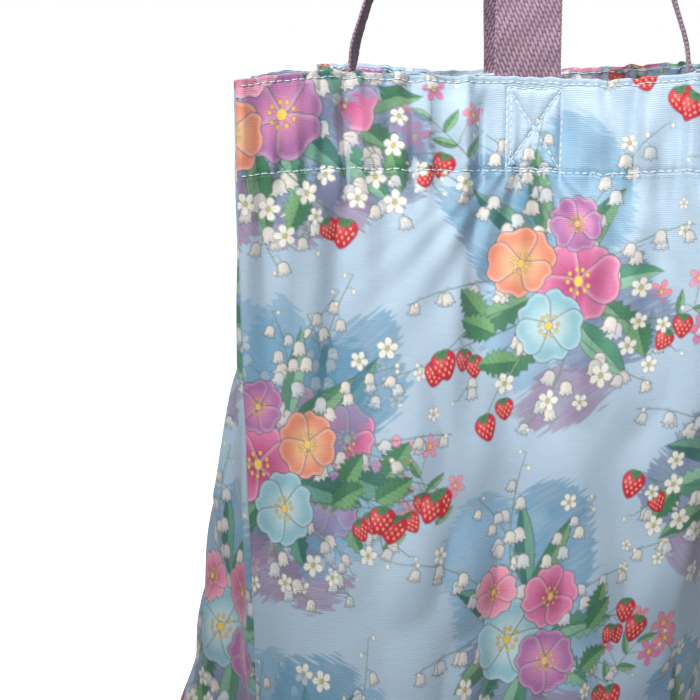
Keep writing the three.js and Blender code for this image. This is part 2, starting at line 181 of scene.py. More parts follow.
def fill(outline, colour, alpha=1.0, line=None, shade=None):
    """Paint a shape; line is (colour, half width, alpha), shade(X, Y, distance) gives colours."""
    outline = np.asarray(outline, float)
    cells, X, Y = window(outline)
    dist = signed_distance(outline, X, Y)
    blend(cells, shade(X, Y, dist) if shade else colour, np.clip(0.5 - dist / CELL, 0, 1) * alpha)
    if line is not None:
        ink, width, strength = line
        blend(cells, ink, np.clip(0.5 - (np.abs(dist) - width) / CELL, 0, 1) * strength)


def stroke(points, width0, width1, colour, alpha=1.0):
    """A line whose half width runs from width0 to width1."""
    points = np.asarray(points, float)
    cells, X, Y = window(points, max(width0, width1) + 0.8)
    dist, share = segment_distance(X, Y, points[:-1], points[1:])
    count = len(points) - 1
    width = width0 + (width1 - width0) * (np.arange(count) + share) / count
    blend(cells, colour, np.clip(0.5 - (dist - width).min(-1) / CELL, 0, 1) * alpha)


# ---------------------------------------------------------------- printed figures
INK, INK_SOFT = srgb(52, 62, 78), srgb(62, 78, 90)
SLATE, BLUE, DEEP = srgb(116, 132, 162), srgb(108, 162, 194), srgb(84, 140, 172)
MAUVE, PINK, ROSE = srgb(152, 122, 154), srgb(222, 128, 170), srgb(236, 160, 184)
CORAL, SKY, LILAC = srgb(230, 146, 118), srgb(150, 196, 208), srgb(176, 116, 168)
BELL_TONES = [srgb(232, 226, 216), srgb(222, 217, 212), srgb(214, 218, 220)]
BELL_DARK, BUD_CREAM = srgb(176, 182, 186), srgb(236, 236, 222)
SPRAY_STEM, BERRY_STEM, SPRIG_STEM = srgb(120, 146, 128), srgb(76, 120, 92), srgb(112, 140, 112)
VEIN, POLLEN = srgb(40, 80, 66), srgb(196, 190, 110)
FLORET_EDGE = srgb(180, 180, 150)
LEAF_GREENS = [
    (srgb(74, 128, 96), srgb(130, 174, 134)),
    (srgb(88, 146, 122), srgb(146, 192, 164)),
    (srgb(62, 116, 108), srgb(114, 164, 146)),
]
spray_random = np.random.RandomState(11)  # shared by all sprays

# Outlines as (x, y), y down the figure, for a size of 1
BELL = spline([
    (0, 0), (-0.34, 0.1), (-0.5, 0.42), (-0.52, 0.78), (-0.78, 1.06), (-0.46, 1.06), (-0.3, 1.26),
    (-0.08, 1.04), (0.14, 1.28), (0.32, 1.04), (0.62, 1.14), (0.52, 0.78), (0.52, 0.42), (0.34, 0.1),
], 3)
BERRY = spline([
    (0, -0.92), (0.68, -0.84), (0.98, -0.26), (0.66, 0.56), (0, 1.14), (-0.66, 0.56),
    (-0.98, -0.26), (-0.68, -0.84),
], 4)
BERRY_CAP = spline([(0, 0.1), (-0.16, -0.24), (0, -0.66), (0.16, -0.24)], 3)


def bell(x, y, size, angle, tone):
    colour = BELL_TONES[tone]
    turn = math.radians(angle)

    def shade(X, Y, dist):
        side = ((X - x) * math.cos(turn) + (Y - y) * math.sin(turn)) / size
        t = np.clip(0.55 * (side + 0.25), 0, 1)[..., None]
        return colour * (1 - t) + BELL_DARK * t

    fill(place(BELL, x, y, size, angle), colour, line=(INK_SOFT, 0.17, 0.85), shade=shade)
    lip = place([(-0.3, 1.0), (-0.08, 0.86), (0.14, 1.0), (0.32, 0.86)], x, y, size, angle)
    stroke(lip, 0.09, 0.07, INK_SOFT, 0.6)


def bud(x, y, radius, colour=BUD_CREAM):
    t = np.linspace(0, 2 * np.pi, 9)[:-1]
    outline = np.c_[x + radius * np.cos(t), y + radius * 1.15 * np.sin(t)]
    fill(outline, colour, line=(INK_SOFT, 0.1, 0.7))


def spray(points, count, size, side):
    """A stem, from root to tip, with bells hung on both sides of it and buds at the tip."""
    curve = spline(points, 10, closed=False)
    stroke(curve, 0.36, 0.16, INK_SOFT, 0.55)
    stroke(curve, 0.24, 0.1, SPRAY_STEM)
    run = travelled(curve)
    for i in range(count):
        share = 0.16 + 0.84 * i / (count - 1)
        x, y = (np.interp(share * run[-1], run, curve[:, k]) for k in (0, 1))
        grown = size * (1 - 0.36 * share) * (0.92 + 0.16 * spray_random.rand())
        out = side if i % 2 == 0 else -side
        dx = out * grown * (0.55 + 0.3 * spray_random.rand())
        dy = grown * (0.12 + 0.3 * spray_random.rand()) - (0.25 * grown if out != side else 0)
        stalk = [(x, y), (x + dx * 0.6, y - grown * 0.12), (x + dx, y + dy)]
        stroke(spline(stalk, 4, closed=False), 0.13, 0.11, SPRAY_STEM)
        if share > 0.9:
            bud(x + dx, y + dy, grown * 0.24)
        else:
            angle = out * -8 + spray_random.uniform(-16, 16)
            bell(x + dx, y + dy, grown, angle, spray_random.randint(3))


def blob(count, radius, jitter, seed, tall):
    g = np.random.RandomState(seed)
    t = np.linspace(0, 2 * np.pi, count + 1)[:-1]
    radii = radius * (1 + jitter * (g.rand(count) - 0.5) * 2)
    return np.c_[radii * np.cos(t), tall * radii * np.sin(t)]


def field(X, Y, seed, freq_x, freq_y, count):
    """A random sum of waves."""
    g = np.random.RandomState(seed)
    total = np.zeros_like(X)
    for _ in range(count):
        total += np.sin(X * freq_x * g.uniform(0.5, 2.4) * (1 if g.rand() > 0.5 else -1)
                        + Y * freq_y * g.uniform(0.5, 2.4) + g.rand() * 6.28)
    return total / math.sqrt(count)


def patch(outline, colour, alpha, seed, angle):
    """A brushed watercolour patch with streaks and a dry, uneven edge."""
    outline = spline(outline, 5)
    cells, X, Y = window(outline, 4)
    c, s = math.cos(math.radians(angle)), math.sin(math.radians(angle))
    U, V = X * c + Y * s, -X * s + Y * c
    streak = field(U, V, seed, 0.12, 1.9, 14)
    cloud = field(U, V, seed + 1, 0.16, 0.22, 8)
    ragged = 1.6 * (0.8 * streak + 0.7 * field(U, V, seed + 2, 0.25, 0.9, 8))
    dist = signed_distance(outline[::2], X, Y) + ragged
    cover = np.clip(alpha * (0.92 + 0.12 * streak + 0.12 * cloud), 0, 1)
    tone = np.clip(1 + 0.07 * cloud + 0.05 * streak, 0.7, 1.3)[..., None]
    blend(cells, colour * tone, np.clip(0.5 - dist / 0.9, 0, 1) * cover)


def petal_flower(x, y, radius, colour, edge, angle, centre=POLLEN, fat=0.62, ink=INK_SOFT):
    """A small flower of five petals."""
    petal = spline([
        (0, 0), (-fat * 0.42, -0.35), (-fat * 0.52, -0.78), (-fat * 0.12, -1.0),
        (fat * 0.1, -0.95), (fat * 0.5, -0.76), (fat * 0.42, -0.35),
    ], 4)
    for i in range(5):
        turn = angle + 72 * i
        fill(place(petal, x, y, radius, turn), colour, line=(ink, 0.1, 0.7))
        stroke(place([(0, -0.2), (0, -0.6)], x, y, radius, turn), 0.08, 0.04, edge, 0.7)
    bud(x, y, radius * 0.2, centre)


def leaf(x, y, length, width, angle, dark, light, serrated=False, bend=0.0):
    """A leaf from its root at (x, y); angle 0 points up the cloth."""
    t = np.linspace(0, 1, 15 if serrated else 11)
    half = width * np.sin(np.pi * t ** 0.8) ** 0.85
    if serrated:
        half = half * (1 + 0.22 * np.where(np.arange(len(t)) % 2 == 0, 1, -1))
        half[0] = half[-1] = 0
    rib = np.c_[bend * length * np.sin(np.pi * t * 0.5) ** 2, -length * t]
    left, right = rib + np.c_[-half, 0 * t], rib + np.c_[half, 0 * t]
    outline = np.vstack([left, right[::-1]])
    if not serrated:
        outline = spline(outline[:-1], 3)
    fill(place(outline, x, y, 1, angle), dark, line=(INK, 0.13, 0.75))
    fill(place(np.vstack([rib, right[::-1]]) * [0.97, 1], x, y, 1, angle), light, 0.85)
    stroke(place(rib, x, y, 1, angle), 0.16, 0.06, VEIN, 0.85)
    for k in range(3, len(t) - 3, 2 if serrated else 3):
        for side in (-1, 1):
            vein = [rib[k], rib[k + 1] + [side * half[k] * 0.75, -0.05 * length]]
            stroke(place(vein, x, y, 1, angle), 0.08, 0.04, VEIN, 0.6)


def blossom(x, y, radius, outer, inner, angle, seed):
    """A round blossom of five broad petals with fine veins and a small golden centre."""
    g = np.random.RandomState(seed)
    light = outer + (1 - outer) * 0.4

    def shade(X, Y, dist):
        out = np.hypot(X - x, Y - y) / radius
        m = np.clip((out - 0.18) / 0.55, 0, 1)[..., None]
        rim = np.clip(1 + dist / (0.13 * radius), 0, 1)[..., None]
        colour = inner * (1 - m) + outer * m
        colour = colour * (1 - 0.7 * rim) + light * 0.7 * rim
        vein = 0.5 + 0.5 * np.cos(np.arctan2(Y - y, X - x) * 40 + 2 * np.sin(out * 6))
        return colour * (1 - 0.14 * (vein * np.clip(1.1 - out, 0, 1))[..., None])

    for i in (0, 2, 4, 1, 3):
        turn = angle + 72 * i + g.uniform(-5, 5)
        w = 0.62 + g.uniform(-0.05, 0.05)
        petal = spline([
            (0, 0), (-w * 0.55, -0.3), (-w * 0.92, -0.66), (-w * 0.62, -0.97), (-w * 0.16, -0.93),
            (w * 0.2, -1.0), (w * 0.68, -0.93), (w * 0.9, -0.62), (w * 0.55, -0.28),
        ], 4)
        petal = place(petal, x, y, radius * g.uniform(0.93, 1.03), turn)
        fill(petal, outer, line=(INK, 0.2, 0.8), shade=shade)
        crease = place([(0, -0.2), (0.02, -0.62)], x, y, radius, turn)
        stroke(crease, 0.1, 0.05, inner * 0.7, 0.7)
    for k in range(9):
        turn = angle + 40 * k + g.uniform(-8, 8)
        stamen = place([(0, -0.06), (0.02, -0.27)], x, y, radius, turn)
        stroke(stamen, 0.08, 0.06, srgb(150, 110, 60), 0.8)
        bud(*stamen[1], 0.045 * radius + 0.12, srgb(236, 196, 92))
    bud(x, y, radius * 0.12, srgb(240, 204, 96))


def berry(x, y, radius, angle):
    """A red berry that narrows to its tip, with pale seeds, a soft light and a small leafy cap."""
    red = srgb(212, 40, 66)

    def shade(X, Y, dist):
        glow = np.hypot(X - x + 0.35 * radius, Y - y + 0.3 * radius) / (0.62 * radius)
        glow = np.clip(1 - glow, 0, 1)[..., None] * 0.6
        dark = np.clip(((X - x) + (Y - y)) / (2.4 * radius), 0, 0.55)[..., None]
        lit = red * (1 - glow) + srgb(246, 132, 136) * glow
        return lit * (1 - dark) + srgb(146, 18, 46) * dark

    outline = place(BERRY, x, y, radius, angle)
    fill(outline, red, line=(srgb(108, 22, 44), 0.13, 0.8), shade=shade)
    for height, count in [(-0.42, 3), (-0.08, 4), (0.26, 3), (0.6, 2)]:
        for i in range(count):
            off = i - (count - 1) / 2
            seed = place([(off * 0.46, height), (off * 0.44, height + 0.1)], x, y, radius, angle)
            stroke(seed, 0.05 * radius, 0.05 * radius, srgb(250, 214, 160))
    top = place((0, -0.9), x, y, radius, angle)
    for k in range(5):
        sepal = place(BERRY_CAP, *top, radius * 0.95, angle + 180 + (k - 2) * 44)
        fill(sepal, srgb(80, 140, 92), line=(INK, 0.09, 0.7))


def arc(x, y, angle, length, curl, count=4):
    """Points of a bending stem: it sets out along angle and turns by curl; 0 degrees is up."""
    points = [(x, y)]
    for i in range(count):
        a = math.radians(angle + curl * (i + 0.5) / count)
        x, y = x + length / count * math.sin(a), y - length / count * math.cos(a)
        points.append((x, y))
    return points


# ---------------------------------------------------------------- bouquets and sprigs
WASHES = [  # x, y, radius, height over width, colour, alpha
    (-14, -20, 17, 1.35, BLUE, 0.6), (12, -24, 14, 1.3, DEEP, 0.66), (-10, 16, 19, 1.0, SLATE, 0.82),
    (15, 12, 14, 1.2, BLUE, 0.55), (4, 33, 15, 0.62, MAUVE, 0.74),
]
LEAVES = [  # root x, y, angle, length, half width, serrated
    (-4, -4, -62, 25, 3.9, 0), (3, -8, 26, 27, 3.6, 0), (-8, 4, -112, 22, 3.7, 0),
    (10, 4, 84, 23, 4.2, 1), (-2, 14, 200, 24, 4.0, 0), (8, 10, 132, 20, 4.2, 1),
    (2, -12, -14, 26, 3.4, 0), (-10, 10, -150, 19, 3.6, 1),
]
SPRAYS = [  # root x, y, angle, length, curl, bells, bell size, first side
    (-4, -4, -34, 46, -40, 11, 4.4, -1), (-2, -8, -6, 44, 34, 10, 4.4, 1),
    (2, -6, 24, 42, 40, 10, 4.2, 1), (-8, 2, -70, 36, -38, 8, 4.3, -1),
    (8, 0, 58, 36, 44, 8, 4.2, 1), (-6, 14, -108, 32, -44, 7, 4.3, -1),
    (8, 12, 104, 33, 30, 7, 4.0, 1), (-2, 20, -150, 28, 30, 6, 4.2, -1),
    (0, -14, 4, 30, -46, 8, 4.0, -1), (4, 22, 150, 26, -34, 6, 4.2, 1),
]
# root x, y, angle, length, curl
BERRY_STEMS = [(6, 6, 72, 38, 40), (6, 8, 98, 34, -24), (-6, 12, -128, 30, 36), (5, 10, 124, 34, 14)]
FLORETS = [  # x, y
    (-20, 20), (-14, 27), (-24, 12), (-6, 30), (-18, 34), (22, 26), (12, 34), (-26, 26), (2, 38),
    (20, -34), (-30, -30),
]
BLOSSOMS = [(-5, 3, 12.5), (10, -7, 10.0), (7, 13, 10.5), (-9, -13, 8.2)]  # x, y, radius
HEADS = [  # outer and inner colours of the blossoms, one row for each kind of bouquet
    [(PINK, srgb(190, 70, 128)), (CORAL, srgb(242, 196, 150)),
     (SKY, srgb(206, 230, 232)), (LILAC, srgb(226, 150, 190))],
    [(LILAC, srgb(226, 146, 188)), (ROSE, srgb(206, 84, 132)), (CORAL, srgb(244, 204, 160))],
    [(SKY, srgb(212, 234, 234)), (PINK, srgb(196, 76, 132)),
     (LILAC, srgb(228, 156, 196)), (ROSE, srgb(210, 96, 140))],
]


def bouquet(x, y, angle, flip, size, seed, heads, stem_count):
    g = np.random.RandomState(seed)

    def put(points):
        return place(points, x, y, size, angle, flip)

    for i, (cx, cy, radius, tall, colour, alpha) in enumerate(WASHES):
        outline = blob(11, radius, 0.2, seed * 7 + i, tall)
        outline = outline + [cx + g.uniform(-2, 2), cy + g.uniform(-2, 2)]
        patch(put(outline), colour, alpha, seed * 5 + i, g.uniform(-50, 50))
    for rx, ry, turn, length, width, serrated in LEAVES:
        greens = LEAF_GREENS[g.randint(3)]
        leaf(*put((rx, ry)), length * size, width * size,
             angle + flip * (turn + g.uniform(-8, 8)), *greens, serrated, 0.14 * flip)
    for rx, ry, turn, length, curl, count, bell_size, side in SPRAYS:
        stem = arc(rx, ry, turn + g.uniform(-7, 7), length * g.uniform(0.9, 1.1),
                   curl * g.uniform(0.7, 1.2))
        spray(put(stem), count, bell_size * size, side * flip)
    for rx, ry, turn, length, curl in BERRY_STEMS[:stem_count]:
        stem = put(arc(rx, ry, turn + g.uniform(-6, 6), length, curl))
        stroke(spline(stem, 6, closed=False), 0.3, 0.15, BERRY_STEM)
        leaf(*stem[2], 12 * size, 3.6 * size, angle + flip * (turn - 50),
             srgb(70, 128, 92), srgb(124, 172, 120), serrated=True)
        bx, by = stem[-1]
        berry(bx, by + 3.4 * size, 3.9 * size * g.uniform(0.85, 1.08), g.uniform(-24, 24))
        bx, by = stem[3]
        stroke([(bx, by), (bx + 2.4, by + 3)], 0.16, 0.1, BERRY_STEM)
        berry(bx + 2.8, by + 6.2 * size, 3.0 * size, g.uniform(-30, 30))
    for px, py in FLORETS:
        spot = put((px + g.uniform(-2, 2), py + g.uniform(-2, 2)))
        petal_flower(*spot, 3.6 * size * g.uniform(0.7, 1.1), srgb(240, 238, 228), FLORET_EDGE,
                     g.uniform(0, 72))
    for (px, py, radius), colours in zip(BLOSSOMS, heads):
        blossom(*put((px, py)), radius * size, *colours, g.uniform(0, 72), seed + int(radius * 10))


def sprig(x, y, angle, flip, seed):
    """A slender loose stem with small pink florets."""
    g = np.random.RandomState(seed)

    def put(points):
        return place(points, x, y, 1, angle, flip)

    main = arc(0, 16, 8, 34, 34, 5)
    stroke(spline(put(main), 6, closed=False), 0.24, 0.12, SPRIG_STEM)
    ends = [main[-1]]
    for i, (j, turn, length) in enumerate([(1, -44, 13), (2, 66, 12), (3, -20, 12), (4, 88, 9)]):
        branch = arc(*main[j], turn + g.uniform(-8, 8), length, 20 if i % 2 else -20, 3)
        stroke(spline(put(branch), 5, closed=False), 0.18, 0.1, SPRIG_STEM)
        ends.append(branch[-1])
    for j, turn in enumerate((-50, 62, -48, 40)):
        leaf(*put(main[j]), 10, 1.7, angle + flip * turn,
             srgb(96, 148, 104), srgb(144, 188, 138), bend=0.15)
    for i, end in enumerate(ends):
        colour = [PINK, ROSE, srgb(232, 142, 156)][g.randint(3)]
        petal_flower(*put(end), 6.2 if i % 2 == 0 else 4.8, colour, srgb(176, 66, 112),
                     g.uniform(0, 72), srgb(238, 200, 96), fat=0.5, ink=srgb(140, 60, 100))


def paint_print():
    """Bouquets on a half-drop grid, over loose sprigs and florets between them."""
    pitch, drop = 100.0, 138.0
    g = np.random.RandomState(29)
    spots = [(c, r, 34 + c * pitch, 8 + r * drop - (0.5 * drop if c % 2 else 0))
             for c in range(5) for r in range(4)]
    for c, r, x, y in spots:
        i = c + 2 * r
        mid = x + 0.5 * pitch
        sprig(mid + g.uniform(-4, 4), y + 12 + g.uniform(-6, 6), [-28, 22, -6, 40][i % 4],
              1 if i % 2 else -1, 60 + i)
        for q in range(3):
            petal_flower(mid + g.uniform(-16, 16), y - 34 + q * 8 + g.uniform(-4, 4),
                         g.uniform(2.0, 3.4), srgb(240, 238, 230), FLORET_EDGE, g.uniform(0, 72))
    for c, r, x, y in spots:
        i = c + 2 * r
        bouquet(x, y, [-12, 16, 8, -20, 24][i % 5], 1 if (c + r) % 2 else -1,
                [1.36, 1.42, 1.3][i % 3], 200 + (i * 5) % 11, HEADS[i % 3], 3 + i % 2)


def print_at(x, y):
    """Colour of the print at places on the cloth."""
    fx = x / CELL - 0.5
    fy = np.clip((y - TILE_TOP) / CELL - 0.5, 0, ROWS - 1.001)
    i, j = np.floor(fx).astype(int), np.floor(fy).astype(int)
    a, b = (fx - i)[..., None], (fy - j)[..., None]
    i0, i1 = i % COLS, (i + 1) % COLS
    upper = TILE[j, i0] * (1 - a) + TILE[j, i1] * a
    return upper * (1 - b) + (TILE[j + 1, i0] * (1 - a) + TILE[j + 1, i1] * a) * b


# ---------------------------------------------------------------- the bag's plan, mouth and base
def resample(points, count):
    """A closed loop cut into equal steps."""
    loop = np.vstack([points, points[:1]])
    run = travelled(loop)
    spots = np.arange(count) * run[-1] / count
    return np.c_[np.interp(spots, run, loop[:, 0]), np.interp(spots, run, loop[:, 1])]


def full_loop(quarter):
    """A loop mirrored out of its front left quarter."""
    q = quarter
    parts = [q, q[-2::-1] * [-1, 1], q[1:] * [-1, -1], q[-2:0:-1] * [1, -1]]
    return resample(np.vstack(parts), GIRTH)


def smooth_loop(loop, sigmas):
    out = np.zeros_like(loop)
    for i, sigma in enumerate(sigmas):
        reach = int(math.ceil(3 * sigma))
        j = np.arange(-reach, reach + 1)
        weights = np.exp(-j * j / (2 * sigma ** 2))
        out[i] = (loop[(i + j) % len(loop)] * (weights / weights.sum())[:, None]).sum(0)
    return out


def seam_distance(along):
    """Distance along the cloth to the nearer side seam."""
    m = np.mod(along, PANEL_W)
    return np.minimum(m, PANEL_W - m)


def mouth_loop():
    """A bowed diamond with its sharp corners at the side seams."""
    f = np.arange(201) / 200
    left, front = np.array([-MOUTH_A, 0.0]), np.array([0.0, -MOUTH_B])
    normal = np.array([MOUTH_B, MOUTH_A]) / math.hypot(MOUTH_A, MOUTH_B)
    bow = (MOUTH_BOW * np.clip(np.sin(np.pi * f), 0, 1) ** 1.05)[:, None]
    quarter = left + f[:, None] * (front - left) + normal * bow
    sigmas = 3 + 8 * np.clip((seam_distance(np.arange(GIRTH)) - 12) / 60, 0, 1)
    loop = resample(smooth_loop(full_loop(quarter), sigmas), GIRTH)
    return loop * (GIRTH / np.hypot(*(np.roll(loop, -1, 0) - loop).T).sum())


def base_loop():
    quarter = [(-BASE_L / 2, -BASE_W / 2 * i / 70) for i in range(70)]
    quarter += [(-BASE_L / 2 * (1 - i / 145), -BASE_W / 2) for i in range(146)]
    return resample(smooth_loop(full_loop(np.array(quarter)), np.full(GIRTH, 9.0)), GIRTH)


MOUTH, BASE_RING = mouth_loop(), base_loop()


def ring_at(loop, along):
    along = np.mod(along, GIRTH)
    i = np.floor(along).astype(int) % GIRTH
    f = (along - np.floor(along))[..., None]
    return loop[i] * (1 - f) + loop[(i + 1) % GIRTH] * f


# ---------------------------------------------------------------- folds and relief of the wall
def wave_sum(seed, low, high, slope, count=9):
    """Waves that close round the bag, low to high of them in its girth, slanting by up to slope."""
    g = np.random.RandomState(seed)
    turns = g.randint(low, high + 1, count)
    slants = g.uniform(-slope, slope, count)
    phases = g.uniform(0, 2 * np.pi, count)
    sizes = g.uniform(0.6, 1.0, count)
    sizes = sizes / math.sqrt((sizes ** 2).sum() / 2)

    def wave(along, down):
        total = 0.0
        for turn, slant, phase, size in zip(turns, slants, phases, sizes):
            total = total + size * np.sin(2 * np.pi * turn * along / GIRTH + slant * down + phase)
        return total

    return wave


PUCKER, PUCKER_FINE = wave_sum(1, 52, 95, 0.05), wave_sum(2, 85, 150, 0.08)
FOLDS, SOFT_FOLDS = wave_sum(3, 12, 26, 0.012), wave_sum(5, 6, 13, 0.02)
WIDE_FOLDS, FINE_FOLDS = wave_sum(6, 3, 6, 0.022), wave_sum(8, 26, 60, 0.05)
SLANTED_FOLDS, TAPE_WAVES = wave_sum(9, 8, 18, 0.09), wave_sum(21, 40, 90, 0.1)

# Height of the mouth's edge against distance from the nearer seam
RIM_AT = np.array([0, 18, 37, 73, 97, 117, 150, 172, 190, 210], float)
RIM_RISE = np.array([-0.6, 1.2, 2.8, 0.9, 0.2, 0.0, -1.2, 0.9, 2.2, 1.4])

# The sewn box with a cross over each handle foot, in (x, down), shifted off the leg's middle
BOX_TOP, BOX_LOW, BOX_X, BOX_SHIFT = 4.4, 35.6, 10.6, 2.9
BOX_RUNS = np.array([
    ((-BOX_X, BOX_TOP), (BOX_X, BOX_TOP)), ((BOX_X, BOX_TOP), (BOX_X, BOX_LOW)),
    ((BOX_X, BOX_LOW), (-BOX_X, BOX_LOW)), ((-BOX_X, BOX_LOW), (-BOX_X, BOX_TOP)),
    ((-BOX_X, BOX_TOP), (BOX_X, BOX_LOW)), ((BOX_X, BOX_TOP), (-BOX_X, BOX_LOW)),
])


def leg_distance(along):
    """Signed distance from the middle of the nearest handle leg."""
    return seam_distance(along) - LEG_S


def box_distance(x, down):
    return segment_distance(x, down, BOX_RUNS[:, 0], BOX_RUNS[:, 1])[0].min(-1)


def signed_pow(f, power):
    return np.sign(f) * np.abs(f) ** power


def rim_height(along):
    m = np.mod(along, PANEL_W)
    h = np.interp(seam_distance(along), RIM_AT, RIM_RISE)
    h = h + 0.22 * PUCKER(along, 0.0) + 0.1 * PUCKER_FINE(along, 0.0)
    return np.where(m > PANEL_W / 2, 0.75 * h + 0.5 * np.sin(m * 0.07), h)


def relief(along, down):
    """How far the cloth stands outward of the plain wall."""
    seam, leg = seam_distance(along), leg_distance(along)
    past_hem = np.clip(down - 40, 0, None)
    # puckers of the hem, held flat by the sewn boxes
    free = 1 - 0.8 * (sstep(17, 11, np.abs(leg)) * sstep(44, 34, down))
    upper, lower, middle = hump(down - 3.0, 6), hump(down - 36.8, 10), hump(down - 20, 13)
    out = free * (
        (0.44 * upper + 0.86 * lower + 0.5 * middle) * signed_pow(PUCKER(along, down), 1.15)
        + 0.2 * (upper + lower) * PUCKER_FINE(along, down)
        + 0.85 * middle * FINE_FOLDS(along, down)
        + 0.6 * middle * SLANTED_FOLDS(along, down * 1.4)
    )
    # each seam line draws the cloth in, with a small gather at every stitch
    tick = np.cos(2 * np.pi * (along - 2.0) / 3.0)
    out = out - (0.5 + 0.14 * tick) * hump(down - HEM_LOWER, 1.4)
    out = out - (0.34 + 0.12 * tick) * hump(down - HEM_UPPER, 1.1)
    # folds of the open cloth, from narrow near the hem to wide lower down
    below = sstep(34, 60, down)
    folds = signed_pow(FOLDS(along, down), 1.25)
    out = out + 2.1 * free * sstep(26, 50, down) * np.exp(-past_hem / 80) * folds
    fine_folds = 0.7 * FINE_FOLDS(along, down) * hump(down - 70, 60)
    out = out + below * (1.7 * SOFT_FOLDS(along, down) + fine_folds)
    ridge = SLANTED_FOLDS(along, down)
    out = out + sstep(60, 150, down) * 1.8 * (np.sqrt(ridge * ridge + 0.12) - 0.7)
    out = out + sstep(50, 200, down) * 2.6 * WIDE_FOLDS(along, down)
    # folds hang from the edges of each sewn foot, and drag lines fan below it
    hang = sstep(3, 14, down) * hump(past_hem, 55)
    sway = leg + 0.05 * np.clip(down - 20, 0, None)
    out = out + hang * (1.7 * hump(sway + 25, 6.0) - 2.0 * hump(sway + 16.5, 3.2)
                        + 0.9 * hump(sway - 19, 6) - 0.9 * hump(sway - 14.6, 2.4))
    fan = leg / np.clip(down - 24, 14, None)
    out = out + 1.3 * hump(down - 66, 36) * hump(fan, 0.8) * np.cos(fan * 17)
    # the sewn box: stitches sunk, the cloth between them puffed over the webbing
    near = (np.abs(leg) < 16) & (down < 44)
    x, y = leg[near] - BOX_SHIFT, down[near]
    dist = box_distance(x, y)
    inside = sstep(12.5, 10.5, np.abs(x)) * sstep(BOX_TOP - 1.5, BOX_TOP + 0.5, y)
    inside = inside * sstep(BOX_LOW + 1.5, BOX_LOW - 0.5, y)
    out[near] += (-0.55 * hump(dist, 0.85) + 0.5 * inside * (1 - hump(dist, 2.2))
                  + 0.06 * inside * PUCKER_FINE(along[near] * 1.7, y * 3))
    # the cloth turns in at the side seams
    out = out * (0.18 + 0.82 * sstep(0, 16, seam))
    out = out + 0.9 * sstep(1.5, 8, seam) * hump(seam, 9) * below
    out = out + 0.4 * hump(seam - 3.2, 2.4) * FINE_FOLDS(along, down * 3.1)
    # the slack cloth bellies out beside the left seam of the back
    m = np.mod(along, GIRTH)
    belly = np.interp(down, [30, 60, 105, 147, 190, 250, 320], [0, 5.5, 10.5, 12.5, 9.0, 3.5, 0])
    out = out + belly * hump(GIRTH - m - 44, 27) * np.where(m > PANEL_W, 1.0, 0.0)
    # the doubled hem stands proud, the side seam lies in a groove, the foot turns in at the base
    out = out + 0.4 * sstep(39.6, 37.6, down) * sstep(0.8, 3.0, seam) - 0.9 * hump(seam, 0.9)
    out = out * (1 - 0.85 * sstep(RIM_Z - 30, RIM_Z - 4, down))
    out = out - 1.1 * np.exp(-np.clip(RIM_Z - 2 - down, 0, None) / 1.3)
    return np.clip(out, -6, 14)


def groove_tone(along, down):
    """Shade that gathers in the stitched grooves, 1 on open cloth."""
    tick = (0.5 + 0.5 * np.cos(2 * np.pi * (along - 2.0) / 3.0)) ** 3
    dark = (0.1 + 0.34 * tick) * hump(down - HEM_LOWER, 0.55)
    dark = dark + (0.1 + 0.3 * tick) * hump(down - HEM_UPPER, 0.5)
    x = leg_distance(along) - BOX_SHIFT
    near = (np.abs(x) < 14) & (down < 40)
    x, y = x[near], down[near]
    beat = 0.55 + 0.45 * np.cos(2 * np.pi * (y + x * 0.4) / 2.8)
    dark[near] += 0.26 * hump(box_distance(x, y), 0.6) * beat
    return 1 - np.clip(dark, 0, 0.5)


def wall(along, down, depth=0.0, raised=True):
    """Points on the wall; raised adds the relief."""
    arrays = (np.asarray(q, float) for q in (along, down, depth))
    along, down, depth = np.broadcast_arrays(*arrays)
    z = RIM_Z - down + rim_height(along) * hump(np.clip(down, 0, None), 70)
    mix = sstep(0, RIM_Z, down)[..., None]

    def plan(shift):
        spot = along + shift
        return ring_at(MOUTH, spot) * (1 - mix) + ring_at(BASE_RING, spot) * mix

    tangent = unit(plan(1.2) - plan(-1.2))
    inward = np.stack([-tangent[..., 1], tangent[..., 0]], -1)
    if raised:
        depth = depth - relief(along, down)
    return np.concatenate([plan(0.0) + inward * depth[..., None], z[..., None]], -1)


